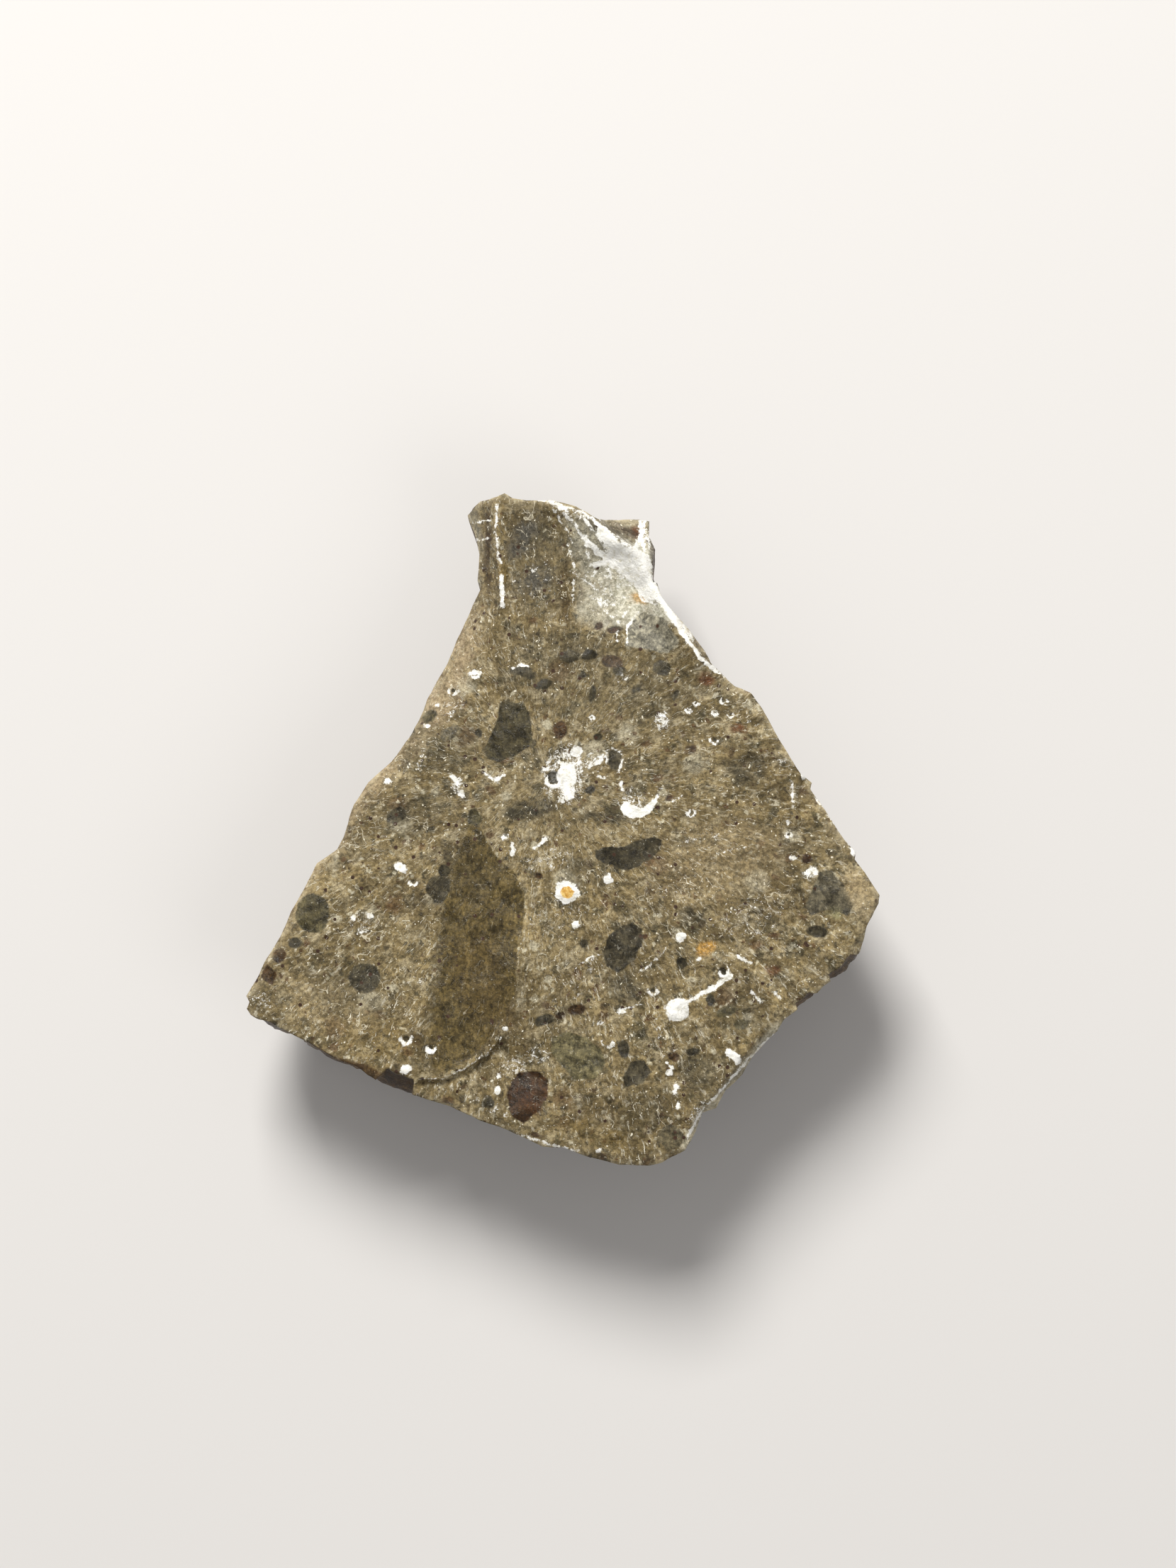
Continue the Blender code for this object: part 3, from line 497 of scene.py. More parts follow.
def rough(x, y, z, length, octaves, seed):
    """Fractal noise between about -1 and 1 with the given longest wavelength."""
    shift = Vector((seed * 7.31, seed * 3.17, seed * 5.73))
    points = np.stack(np.broadcast_arrays(x, y, z), axis=-1) / length
    return np.array([
        noise.fractal(Vector(point) + shift, 0.9, 2.1, octaves, noise_basis="PERLIN_ORIGINAL")
        for point in points.tolist()
    ])


def closed(path):
    return tuple(path) + (path[0],)


def inside(x, y, ring):
    """True where a point lies inside a closed ring of points."""
    odd = np.zeros(x.shape, dtype=bool)
    for (x0, y0), (x1, y1) in zip(ring, np.roll(ring, -1, axis=0)):
        if y0 == y1:
            continue
        crosses = (y0 > y) != (y1 > y)
        odd ^= crosses & (x < (x1 - x0) * (y - y0) / (y1 - y0) + x0)
    return odd


def face_height(x, y):
    """Height of the upper side of the stone above a point of the plan."""
    height = FACE_HEIGHT + FACE_TILT_X * x + FACE_TILT_Y * y
    height -= FACE_SWELL * ((x - FACE_SWELL_CENTRE[0]) ** 2 + (y - FACE_SWELL_CENTRE[1]) ** 2) * 0.5
    height += FACE_UNDULATION * rough(x, y, 0.0, UNDULATION_LENGTH, 3, 1)

    # The left strip falls away outside the shoulder edge, which has the face on its left.
    shoulder, shoulder_run = path_offset(x, y, SHOULDER_EDGE)
    on_neck = 1.0 - ease(shoulder_run, 0.2, 0.34)
    slope = SHOULDER_SLOPE + (NECK_FACET_SLOPE - SHOULDER_SLOPE) * on_neck
    height -= slope * soft_ramp(-shoulder, SHOULDER_SOFTNESS)
    ridge = np.exp(-(shoulder / NECK_RIDGE_WIDTH) ** 2) * ease(y, 6.2, 6.8)
    height += NECK_RIDGE_RISE * ridge

    # Neck hollow between the ridge and the scoop, and the scoop itself.
    height -= NECK_HOLLOW_DEPTH * bump(x, y, *NECK_HOLLOW)
    height -= SCOOP_DEPTH * bump(x, y, *SCOOP)
    height -= SCOOP_FOOT_DEPTH * bump(x, y, *SCOOP_FOOT)

    # The crest stands up, and the strip beyond it falls away to the rim.
    crest, crest_run = path_offset(x, y, CREST)
    fade = ends_fade(crest_run, 0.08, 0.9)
    height += CREST_RISE * fade * np.exp(-(crest / CREST_WIDTH) ** 2)
    beyond = soft_ramp(crest, 0.1) * fade
    height -= OUTER_STRIP_SLOPE * np.minimum(beyond, OUTER_STRIP_REACH)
    rear = ease(crest, 0.02, 0.22) * ease(y, 8.05, 8.35) * ease(x, 0.9, 1.25)
    height -= REAR_STEP_DROP * rear * (1.0 - 0.5 * ease(x, 2.25, 2.5))

    # The face drops a little below the ledge at the lower left, and heals further down.
    ledge, ledge_run = path_offset(x, y, LOWER_STEP)
    below = ease(-ledge, 0.0, 0.16) * (1.0 - ease(-ledge, 0.9, 2.2))
    height -= LOWER_STEP_DROP * ends_fade(ledge_run, 0.06, 0.8) * below

    # Short step behind the tooth of the right edge.
    step, step_run = path_offset(x, y, RIGHT_STEP)
    height -= RIGHT_STEP_DROP * ends_fade(step_run, 0.15, 0.7) * ease(step, 0.0, 0.18)
    height += RIM_TOOTH_RISE * bump(x, y, *RIM_TOOTH)

    # Narrow bevel along the lower right, and a slightly worn rim all round.
    bevel, bevel_run = path_offset(x, y, LOWER_RIGHT_RIM)
    depth = np.clip(LOWER_RIGHT_BEVEL_WIDTH - np.abs(bevel), 0.0, 1.0)
    height -= LOWER_RIGHT_BEVEL * ends_fade(bevel_run, 0.12, 0.88) * depth
    rim, _ = path_offset(x, y, closed(OUTLINE))
    height -= RIM_ROUNDING * np.exp(-np.abs(rim) / RIM_ROUNDING_WIDTH)
    return height


def underside_height(x, y):
    """Height of the lower side: exactly zero on the flat spot, rising in facets around it."""
    u = x - FLAT_CENTRE[0]
    v = y - FLAT_CENTRE[1]
    wobble = rough(x, y, 0.0, 4.2, 3, 2)
    climb = np.full(x.shape, -1e9)
    for bearing, start, slope in FACETS:
        angle = math.radians(bearing)
        reach = u * math.cos(angle) + v * math.sin(angle) - start + FACET_WOBBLE * wobble
        climb = np.maximum(climb, slope * reach + FACET_CURVE * np.clip(reach, 0.0, 9.0) ** 2 * 0.3)
    grain = rough(x, y, 3.0, 1.5, 3, 3)
    return np.where(climb > 0.0, climb + UNDERSIDE_ROUGHNESS * grain * np.clip(climb, 0.0, 1.0) * 0.8, 0.0)


def rim_points():
    """The outline in short steps with a slightly ragged line, and the way out from the hub at each."""
    ring = []
    for (x0, y0), (x1, y1) in zip(OUTLINE, closed(OUTLINE)[1:]):
        steps = max(1, round(math.hypot(x1 - x0, y1 - y0) / RIM_SPACING))
        ring += [(x0 + (x1 - x0) * step / steps, y0 + (y1 - y0) * step / steps) for step in range(steps)]
    ring = np.array(ring)
    outward = ring - np.array(HUB)
    outward /= np.linalg.norm(outward, axis=1)[:, None]
    return ring + outward * (RIM_RAGGEDNESS * rough(*ring.T, 0.0, 0.9, 2, 4))[:, None], outward


def ledge_width(ring):
    """How far the wall stands out past the face at each point of the rim."""
    width = np.full(len(ring), PLAIN_LEDGE)
    for start, end, reach in WALL_LEDGES:
        offset, run = path_offset(*ring.T, (start, end))
        width += reach * ends_fade(run, 0.12, 0.88) * (np.abs(offset) < 0.5)
    return width


def scatter(ring, spacing, seed):
    """Points in a jittered triangular lattice inside a ring."""
    low = ring.min(axis=0)
    high = ring.max(axis=0)
    rows = []
    for row, y in enumerate(np.arange(low[1], high[1], spacing * math.sqrt(0.75))):
        xs = np.arange(low[0] + (row % 2) * 0.5 * spacing, high[0], spacing)
        rows.append(np.stack([xs, np.full(xs.shape, y)], axis=1))
    points = np.concatenate(rows)
    points += np.random.default_rng(seed).uniform(-0.16, 0.16, points.shape) * spacing
    offset, _ = path_offset(*points.T, closed([tuple(p) for p in ring]))
    return points[inside(*points.T, ring) & (np.abs(offset) > 0.55 * spacing)]


def disc(ring, spacing, seed):
    """A sheet of triangles inside a ring: its plan points, the ring first, and the triangles."""
    points = np.vstack([ring, scatter(ring, spacing, seed)])
    border = [(i, (i + 1) % len(ring)) for i in range(len(ring))]
    found = geometry.delaunay_2d_cdt([Vector(p) for p in points], border, [], 1, 1e-6)
    if len(found[0]) != len(points):
        raise RuntimeError("the outline crosses itself")
    return points, [tuple(face) for face in found[2]]


def shape_gap(x, y, shape):
    """Distance outside a closed shape, negative inside it."""
    gap, _ = path_offset(x, y, closed(shape))
    return np.where(inside(x, y, np.array(shape)), -np.abs(gap), np.abs(gap))


def shaken(x, y, size, length, seed):
    """Plan points moved about by noise, so that markings drawn on them get broken edges."""
    return x + size * rough(x, y, 0.0, length, 3, seed), y + size * rough(x, y, 0.0, length, 3, seed + 1)


def clast_field(x, y):
    """Distance to the nearest clast and that clast's colour. The dark middles of the ring pits are painted
    shade, drawn as ink clasts.
    """
    wide_x, wide_y = shaken(x, y, 0.07, 0.5, 30)
    gap = np.full(x.shape, 1.0)
    tone = np.tile(np.array(TONES["slate"]), (len(x), 1))
    marks = []
    for name, ovals in CLAST_OVALS.items():
        marks += [(oval_gap(wide_x, wide_y, oval) - CLAST_GROWTH, name) for oval in ovals]
    # Painted shade: a dark ink spot in the middle of each ring pit.
    marks += [(oval_gap(x, y, (px, py, 0.7 * r, 0.7 * r, 0)), "ink") for px, py, r in RING_PITS]
    fine_x, fine_y = shaken(x, y, 0.05, 0.4, 33)
    marks += [(shape_gap(fine_x, fine_y, shape), name) for name, *shape in CLAST_SHAPES]
    for reach, name in marks:
        if name == "olive":
            # The large clast fades out at its left edge.
            reach = reach * (0.12 + 0.88 * ease(x, -3.6, -2.6))
        closer = reach < gap
        gap = np.where(closer, reach, gap)
        tone[closer] = TONES[name]
    return gap, tone


def white_and_highlight_field(x, y):
    """Distance to the nearest white grain, vein or painted highlight, and to the amber grain."""
    fine_x, fine_y = shaken(x, y, 0.05, 0.25, 36)
    gap = np.full(x.shape, 1.0)
    for oval in WHITE_OVALS:
        gap = np.minimum(gap, oval_gap(fine_x, fine_y, oval))
    for shape in WHITE_SHAPES:
        gap = np.minimum(gap, shape_gap(fine_x, fine_y, shape))
    for width, *path in WHITE_LINES + NECK_CRACKS:
        reach, _ = path_offset(fine_x, fine_y, path)
        gap = np.minimum(gap, np.abs(reach) - width)
    # Painted highlight: a white crescent on the lower side of each ring pit's rim.
    for px, py, radius in RING_PITS:
        ring = np.abs(np.hypot(fine_x - px, fine_y - py) - radius) - max(0.3 * radius, 0.036)
        gap = np.minimum(gap, ring + 0.5 * np.clip(fine_y - py, 0.0, 1.0))
    return gap, oval_gap(fine_x, fine_y, AMBER_GRAIN)


def powder_and_glint_field(x, y):
    """How thickly loose white grains and painted glints lie, from 0 to 1."""
    share = np.zeros(x.shape)
    for *oval, strength in WHITE_PATCHES:
        share = np.maximum(share, soft_cover(x, y, oval, strength, 0.35))
    return share


def stain_field(x, y):
    """Colour and strength of the soft stains."""
    wide_x, wide_y = shaken(x, y, 0.14, 0.7, 39)
    tint = np.zeros((len(x), 4))
    for *oval, name, strength in STAINS:
        share = soft_cover(wide_x, wide_y, oval, strength, 0.3)[:, None]
        tint = tint * (1.0 - share) + np.array(TONES[name] + (1.0,)) * share
    return tint


def hackles(x, y):
    """Fine ridges that fan out over the fracture face, between about -1 and 1."""
    dx = x - HACKLE_CENTRE[0]
    dy = y - HACKLE_CENTRE[1]
    reach = np.hypot(dx, dy)
    angle = np.arctan2(dy, dx) + 0.1 * rough(x, y, 0.0, 5.0, 2, 41)
    ridges = rough(np.cos(angle) * 17.0, np.sin(angle) * 17.0, reach * 0.45, 1.0, 3, 42)
    patches = ease(rough(x, y, 0.0, 2.4, 3, 43), -0.35, 0.35)
    return ridges * ease(reach, 0.8, 2.6) * (0.35 + 0.65 * patches)


def dents(x, y, places, profile):
    """Sum of round dents or knobs, each worked out only near its place."""
    height = np.zeros(x.shape)
    order = np.argsort(y)
    ordered = y[order]
    for px, py, radius in places:
        first = np.searchsorted(ordered, py - 2.2 * radius)
        last = np.searchsorted(ordered, py + 2.2 * radius)
        near = order[first:last]
        near = near[np.abs(x[near] - px) < 2.2 * radius]
        share = np.hypot(x[near] - px, y[near] - py) / radius
        height[near] += radius * profile(share)
    return height


def pit_profile(share):
    """A small pit with a raised ring."""
    return -0.42 * np.clip(1.0 - share * share, 0.0, 1.0) + 0.16 * np.exp(-((share - 1.08) / 0.22) ** 2)


def knob_profile(share):
    """A low rounded knob."""
    return 0.34 * np.clip(1.0 - share * share, 0.0, 1.0) ** 0.8


def chip_profile(share):
    """A shallow shell-shaped chip with a sharp border."""
    return -0.34 * np.clip(1.0 - share * share, 0.0, 1.0)


def sprinkle(count, low, high, seed):
    """Seeded places over the whole plan with radii between two limits, small ones most often."""
    shaker = np.random.default_rng(seed)
    x = shaker.uniform(-PLAN_HALF_WIDTH, PLAN_HALF_WIDTH, count)
    y = shaker.uniform(-PLAN_HALF_LENGTH, PLAN_HALF_LENGTH, count)
    radius = low + (high - low) * shaker.uniform(0.0, 1.0, count) ** 2.2
    return list(zip(x, y, radius))


def rim_chips(count, seed):
    """Seeded places along the rim."""
    shaker = np.random.default_rng(seed)
    corners = np.array(closed(OUTLINE))
    lengths = np.hypot(*np.diff(corners, axis=0).T)
    runs = np.concatenate([[0.0], np.cumsum(lengths)])
    places = []
    for spot in shaker.uniform(0.0, runs[-1], count):
        side = min(int(np.searchsorted(runs, spot, side="right")) - 1, len(lengths) - 1)
        share = (spot - runs[side]) / lengths[side]
        x, y = corners[side] * (1.0 - share) + corners[side + 1] * share
        places.append((x, y, 0.10 + 0.34 * shaker.uniform() ** 2.5))
    return places


def fine_face_height(x, y, clast_gap):
    """The face with its fine relief; smooth clasts break more evenly than the ground between them."""
    height = face_height(x, y)
    ground = 0.3 + 0.7 * ease(clast_gap, -0.12, 0.06)
    below, below_run = path_offset(x, y, LOWER_STEP)
    rougher = 1.0 + 0.9 * ease(-below, 0.0, 0.3) * ease(below_run, 0.02, 0.1)
    rougher += 0.5 * bump(x, y, (-1.0, 4.6), 2.6, 1.6)
    height += GRAIN_HEIGHT * rough(x, y, 0.0, 0.42, 4, 44) * ground * rougher
    height += DIMPLE_HEIGHT * np.abs(rough(x, y, 0.0, 1.1, 3, 45)) * ground
    height += HACKLE_HEIGHT * hackles(x, y) * (0.5 + 0.5 * ground)
    height += dents(x, y, RING_PITS, pit_profile)
    height += dents(x, y, sprinkle(*PITS, 51), pit_profile) * ground
    height += 0.6 * dents(x, y, sprinkle(*KNOBS, 52), knob_profile) * ground
    height += 0.7 * dents(x, y, PROUD_GRAINS, knob_profile)
    height += 0.8 * dents(x, y, rim_chips(CHIP_COUNT, 53), chip_profile)
    for _, *path in NECK_CRACKS:
        crack, _ = path_offset(x, y, path)
        height += CRACK_HEIGHT * ease(crack, -0.05, 0.03) * ease(-crack, -0.5, -0.03)
    return height


def fine_underside_height(x, y):
    """The underside with its fine relief, which leaves the flat spot as it is."""
    height = underside_height(x, y)
    climb = ease(height, 0.0, 0.12)
    height = height + 0.05 * climb * rough(x, y, 7.0, 0.7, 4, 47)
    return height + 0.6 * climb * dents(x, y, sprinkle(*UNDERSIDE_PITS, 54), pit_profile)


def wall_row(level, face_ring, rim, foot_ring, outward, top, bottom):
    """Points of one row of the side wall, at a level from 0 at the face to 1 at the underside."""
    out = ease(np.full(len(rim), level), 0.0, WIDEST_LEVEL)
    tuck = np.clip((level - WIDEST_LEVEL) / (1.0 - WIDEST_LEVEL), 0.0, 1.0) ** 1.4
    plan = face_ring * (1.0 - out)[:, None] + rim * out[:, None]
    plan = plan * (1.0 - tuck) + foot_ring * tuck
    z = top * (1.0 - level) + bottom * level
    swell = math.sin(math.pi * level)
    depth = WALL_ROUGHNESS * swell * np.abs(rough(*rim.T, z, 1.3, 3, 6))
    depth += WALL_GRAIN * swell * np.abs(rough(*rim.T, z, 0.45, 4, 48))
    plan -= outward * depth[:, None]
    return np.column_stack([plan, z + WALL_WAVE * swell * rough(*rim.T, z, 0.8, 2, 49)])


def skin_points():
    """Points of the skin, its triangles, and each point's level: 0 on the face, 1 and more underneath."""
    rim, outward = rim_points()
    count = len(rim)
    wobble = rough(*rim.T, 9.0, 4.0, 3, 5)
    undercut = np.clip(UNDERCUT + UNDERCUT_SPREAD * (0.5 + wobble), *UNDERCUT_LIMITS)
    fray = rough(*rim.T, 4.0, 0.3, 3, 46)
    face_ring = rim - outward * (ledge_width(rim) + RIM_FRAY * np.abs(fray))[:, None]
    foot_ring = rim - outward * undercut[:, None]
    face_plan, face_cells = disc(face_ring, FACE_SPACING, 11)
    under_plan, under_cells = disc(foot_ring, UNDER_SPACING, 12)
    clast_gap, _ = clast_field(*face_plan.T)
    face_z = fine_face_height(*face_plan.T, clast_gap)
    under_z = fine_underside_height(*under_plan.T)

    layers = [np.column_stack([face_plan, face_z])]
    levels = [np.zeros(len(face_plan))]
    for row in range(1, SKIN_ROWS):
        level = row / SKIN_ROWS
        layers.append(wall_row(level, face_ring, rim, foot_ring, outward, face_z[:count], under_z[:count]))
        levels.append(np.full(count, level))
    layers.append(np.column_stack([under_plan, under_z]))
    levels.append(np.where(np.arange(len(under_plan)) < count, 1.0, 1.5))

    cells = [tuple(cell) for cell in face_cells]
    starts = [0] + [len(face_plan) + count * row for row in range(SKIN_ROWS)]
    for upper, lower in zip(starts, starts[1:]):
        for i in range(count):
            j = (i + 1) % count
            cells.append((upper + i, lower + i, lower + j))
            cells.append((upper + i, lower + j, upper + j))
    cells += [tuple(starts[-1] + i for i in reversed(cell)) for cell in under_cells]
    return np.vstack(layers), cells, np.concatenate(levels)


def centred_mesh(points, cells):
    """The mesh in metres, its plan centred on the origin as in the frame. Prints its room in the solid."""
    low = points.min(axis=0)
    high = points.max(axis=0)
    cad_low, cad_high = [np.array(corner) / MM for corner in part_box("meteorite")]
    room = (cad_high - cad_low) / (high - low)
    print("skin against the solid", room.round(4).tolist(), "triangles", len(cells))
    middle = (low + high) / 2.0
    mesh = bpy.data.meshes.new("meteorite_skin")
    mesh.from_pydata(((points + np.array([-middle[0], -middle[1], 0.0])) * MM).tolist(), [], cells)
    mesh.validate()
    bm = bmesh.new()
    bm.from_mesh(mesh)
    bmesh.ops.recalc_face_normals(bm, faces=bm.faces[:])
    bm.to_mesh(mesh)
    bm.free()
    mesh.shade_smooth()
    return mesh


def set_layer(mesh, name, values):
    """Keeps a number or a colour for each point of the mesh."""
    kind, field = ("FLOAT", "value") if values.ndim == 1 else ("FLOAT_COLOR", "color")
    layer = mesh.attributes.new(name, kind, "POINT")
    layer.data.foreach_set(field, values.astype(np.float32).ravel())


def painted_wedge_shade(x, y, rim):
    """Painted shade: a thin dark wedge on the face along the lower left of the rim, where the undercut wall
    is in shadow.
    """
    rim_x, _ = shaken(x, y, 0.1, 0.4, 63)
    width = 0.04 + 0.3 * ease(rim_x, -9.2, -4.6)
    corner = ease(-x, 4.35, 4.55) * ease(-y, 5.3, 5.6)
    return ease(width - np.abs(rim), -0.06, 0.04) * corner


def lit_strip_cover(x, y, rim):
    """Painted light: the paler strip outside the shoulder edge, which faces the lamp, and a painted
    highlight on the rim below it.
    """
    shoulder, run = path_offset(x, y, SHOULDER_EDGE)
    strip = ease(-shoulder, -0.1, 0.75) * ease(run, 0.18, 0.3)
    lit_lower_rim = 0.9 * np.exp(-np.abs(rim) / 0.16) * ease(-x, 2.9, 4.0) * ease(y, -4.2, -2.0)
    return np.maximum(strip, lit_lower_rim)


def milk_and_sheen_cover(x, y):
    """Milky white and painted sheen on the neck's scoop and its bright edge, and on the pale lower right
    bevel.
    """
    scoop_x, scoop_y = shaken(x, y, 0.22, 0.9, 60)
    milk = ease(scoop_x, 0.15, 0.75) * ease(scoop_y, 5.75, 6.25)
    milk *= 0.55 + 0.45 * ease(scoop_x, 0.9, 1.8)
    milk *= 1.0 - 0.7 * ease(scoop_y, 8.0, 8.6)
    milk = np.maximum(milk, 0.9 * bump(x, y, *MILKY_SHEEN_EDGE) ** 0.5)
    edge, _ = path_offset(x, y, LOWER_RIGHT_RIM)
    return np.maximum(milk, 0.5 * ease(0.18 - np.abs(edge), -0.08, 0.08))


def mark_skin(mesh, x, y, level):
    """The values that the material reads: distances to markings, and how much of each tint lies where."""
    on_top = ease(0.06 - level, 0.0, 0.05)
    rim, _ = path_offset(x, y, closed(OUTLINE))
    clast_gap, clast_tone = clast_field(x, y)
    white_gap, amber_gap = white_and_highlight_field(x, y)
    beyond_crest = ease(x, 2.1, 2.3) * ease(y, 6.2, 6.7)
    layers = {
        "clast_gap": np.where(level < 0.2, clast_gap, 1.0),
        "white_gap": np.where(level < 0.03, white_gap, 1.0),
        "amber_gap": np.where(level < 0.03, amber_gap, 1.0),
        # Loose white grains, and patches of painted glints.
        "powder": powder_and_glint_field(x, y) * on_top,
        "clast_tone": np.hstack([clast_tone, np.ones((len(x), 1))]),
        "stain": stain_field(x, y) * on_top[:, None],
        # The wall, and the painted shade of the wedge along the lower left of the face.
        "wall": np.maximum(ease(level, 0.01, 0.06), 0.95 * painted_wedge_shade(x, y, rim)),
        # Painted light and shade: lighter on the hackle ridges, darker between them.
        "streak": hackles(x, y) * on_top,
        # Painted light on the strip outside the shoulder edge and on the rim below it.
        "dusty": lit_strip_cover(x, y, rim) * on_top,
        # Milky white with painted sheen on the neck and the lower right bevel.
        "milk": milk_and_sheen_cover(x, y) * on_top,
        # Painted highlight: a light band along the rim, left off beyond the crest.
        "rim": np.exp(-np.abs(rim) / 0.1) * on_top * (1.0 - beyond_crest),
    }
    for name, values in layers.items():
        set_layer(mesh, name, values)


def build_skin():
    points, cells, level = skin_points()
    mesh = centred_mesh(points, cells)
    mark_skin(mesh, *points[:, :2].T, level)
    skin = bpy.data.objects.new("meteorite_skin", mesh)
    bpy.context.scene.collection.objects.link(skin)
    return skin


class Shades:
    """Short ways to make and join shader nodes, and the values that many of them share."""

    def __init__(self, tree):
        self.tree = tree
        metres = self.join("TexCoord", {}, "Object")
        self.place = self.vector("MULTIPLY", metres, (1000.0, 1000.0, 1000.0))
        self.bent = self.moved(self.place, 1.6, 4.0, 0.6, 0.42)
        self.torn = self.moved(self.bent, 4.5, 3.0, 0.7, 0.32)
        self.grain = self.noise(self.place, 8.5, 4.0, 0.75)
        # The wall, with the painted shade of the lower left wedge.
        self.wall = self.layer("wall")
        self.flat = self.rest(self.wall)

    def feed(self, socket, value):
        """Gives a socket another one's output, a paint by its name, or a plain value."""
        if isinstance(value, bpy.types.NodeSocket):
            self.tree.links.new(value, socket)
            return
        value = PAINT[value] if isinstance(value, str) else value
        is_colour = isinstance(value, tuple) and len(socket.default_value) == 4
        socket.default_value = value + (1.0,) if is_colour else value

    def join(self, kind, values, output=0, **settings):
        """One output of a new node whose inputs are fed."""
        made = self.tree.nodes.new("ShaderNode" + kind)
        for key, value in settings.items():
            setattr(made, key, value)
        for key, value in values.items():
            self.feed(made.inputs[key], value)
        return made.outputs[output]

    def maths(self, operation, a, b=0.0):
        return self.join("Math", {0: a, 1: b}, operation=operation)

    def vector(self, operation, a, b):
        return self.join("VectorMath", {0: a, 1: b}, operation=operation)

    def times(self, a, b):
        return self.maths("MULTIPLY", a, b)

    def rest(self, share):
        """What a share leaves of 1."""
        return self.maths("SUBTRACT", 1.0, share)

    def chosen(self, share, chance, limit):
        """A share where a random value is above a limit, and 0 elsewhere."""
        return self.times(share, self.maths("GREATER_THAN", chance, limit))

    def span(self, value, low, high, to_low=0.0, to_high=1.0):
        values = dict(enumerate((value, low, high, to_low, to_high)))
        return self.join("MapRange", values, interpolation_type="SMOOTHSTEP")

    def mix(self, share, a, b, blend="MIX"):
        return self.join("Mix", {0: share, 6: a, 7: b}, 2, data_type="RGBA", blend_type=blend)

    def tint(self, colour, by):
        return self.mix(1.0, colour, by, "MULTIPLY")

    def grained(self, low, high, dull, bright):
        """A colour that the fine grain turns from dull to bright."""
        return self.mix(self.span(self.grain, low, high), dull, bright)

    def noise(self, place, scale, detail, roughness, output="Fac"):
        values = {"Vector": place, "Scale": scale, "Detail": detail, "Roughness": roughness}
        return self.join("TexNoise", values, output)

    def cells(self, place, scale):
        """Distance to the nearest of scattered points, and three random values of it."""
        reach = self.join("TexVoronoi", {"Vector": place, "Scale": scale}, "Distance")
        return reach, self.join("SeparateColor", {0: reach.node.outputs["Color"]}).node.outputs

    def moved(self, start, scale, detail, roughness, size):
        """A place pushed about by noise."""
        noise_colour = self.noise(self.place, scale, detail, roughness, "Color")
        push = self.vector("SUBTRACT", noise_colour, (0.5, 0.5, 0.5))
        return self.vector("ADD", start, self.vector("MULTIPLY", push, (size, size, size)))

    def layer(self, name, output="Fac"):
        """What the skin's points hold under a name."""
        return self.join("Attribute", {}, output, attribute_name=name)


def ground_colour(s):
    """Olive and tan patches, finer mottling, fragments of three sizes and a dense fine grain."""
    colour = s.mix(s.span(s.noise(s.place, 0.42, 4.0, 0.6), 0.36, 0.64), "olive", "tan")
    colour = s.mix(s.span(s.noise(s.bent, 2.1, 5.0, 0.7), 0.47, 0.64, 0.0, 0.72), colour, "pale")
    colour = s.mix(s.span(s.noise(s.bent, 1.7, 5.0, 0.7), 0.5, 0.66, 0.0, 0.9), colour, "dark")
    for scale, share_dark, share_light, strength in FRAGMENTS:
        reach, chance = s.cells(s.torn, scale)
        core = s.span(reach, 0.46, 0.24, 0.0, strength)
        shade = s.mix(s.span(chance[1], 0.35, 0.75), "black_grain", "brown_grain")
        colour = s.mix(s.chosen(core, chance[0], 1.0 - share_dark), colour, shade)
        light = s.times(core, s.maths("LESS_THAN", chance[0], share_light))
        colour = s.mix(light, colour, "light_grain")
    return s.tint(colour, s.grained(0.36, 0.64, (0.58, 0.56, 0.5), (1.42, 1.42, 1.37)))


def fan_vectors(s):
    """Direction from the middle of the face, and distance from it: noise read there runs out in a fan."""
    spoke = s.vector("SUBTRACT", s.vector("MULTIPLY", s.bent, (1.0, 1.0, 0.0)), HACKLE_CENTRE + (0.0,))
    far = s.join("VectorMath", {0: spoke}, "Value", operation="LENGTH")
    direction = s.vector("NORMALIZE", spoke, (0.0, 0.0, 0.0))
    along = s.join("CombineXYZ", {2: s.times(far, FIBRE_RATE)})
    return s.vector("MULTIPLY", direction, (FIBRE_COUNT, FIBRE_COUNT, 0.0)), along


def lay_fibres(s, colour, turned, along):
    """Fine fibres, bright on dark, and painted light and shade that follow the hackle ridges of the relief.
    """
    fibre = s.noise(s.vector("ADD", turned, along), 1.0, 4.0, 0.65)
    colour = s.mix(s.times(s.flat, s.span(fibre, 0.57, 0.68, 0.0, 0.7)), colour, "bright_fibre")
    colour = s.mix(s.times(s.flat, s.span(fibre, 0.46, 0.33, 0.0, 0.6)), colour, "dark_fibre")
    return s.tint(colour, s.span(s.layer("streak"), -0.5, 0.6, 0.8, 1.26))


def lay_lit_strip_and_milk_sheen(s, colour):
    """The painted light of the strip on the left, and the milky neck with its painted sheen."""
    dusty = s.times(s.layer("dusty"), s.span(s.noise(s.torn, 2.6, 5.0, 0.7), 0.34, 0.62, 0.2, 0.9))
    colour = s.mix(dusty, colour, s.grained(0.38, 0.62, "dull_dust", "bright_dust"))
    milk = s.times(s.layer("milk"), s.span(s.noise(s.bent, 2.6, 5.0, 0.65), 0.32, 0.62, 0.45, 1.0))
    return s.mix(milk, colour, s.grained(0.38, 0.62, "dull_milk", "bright_milk"))


def clast_cover(s):
    """Where the clasts lie, with edges broken by fine noise."""
    nibble = s.times(s.maths("SUBTRACT", s.noise(s.place, 5.0, 4.0, 0.7), 0.5), 0.1)
    return s.span(s.maths("ADD", s.layer("clast_gap"), nibble), 0.02, -0.05, 0.0, 0.97)


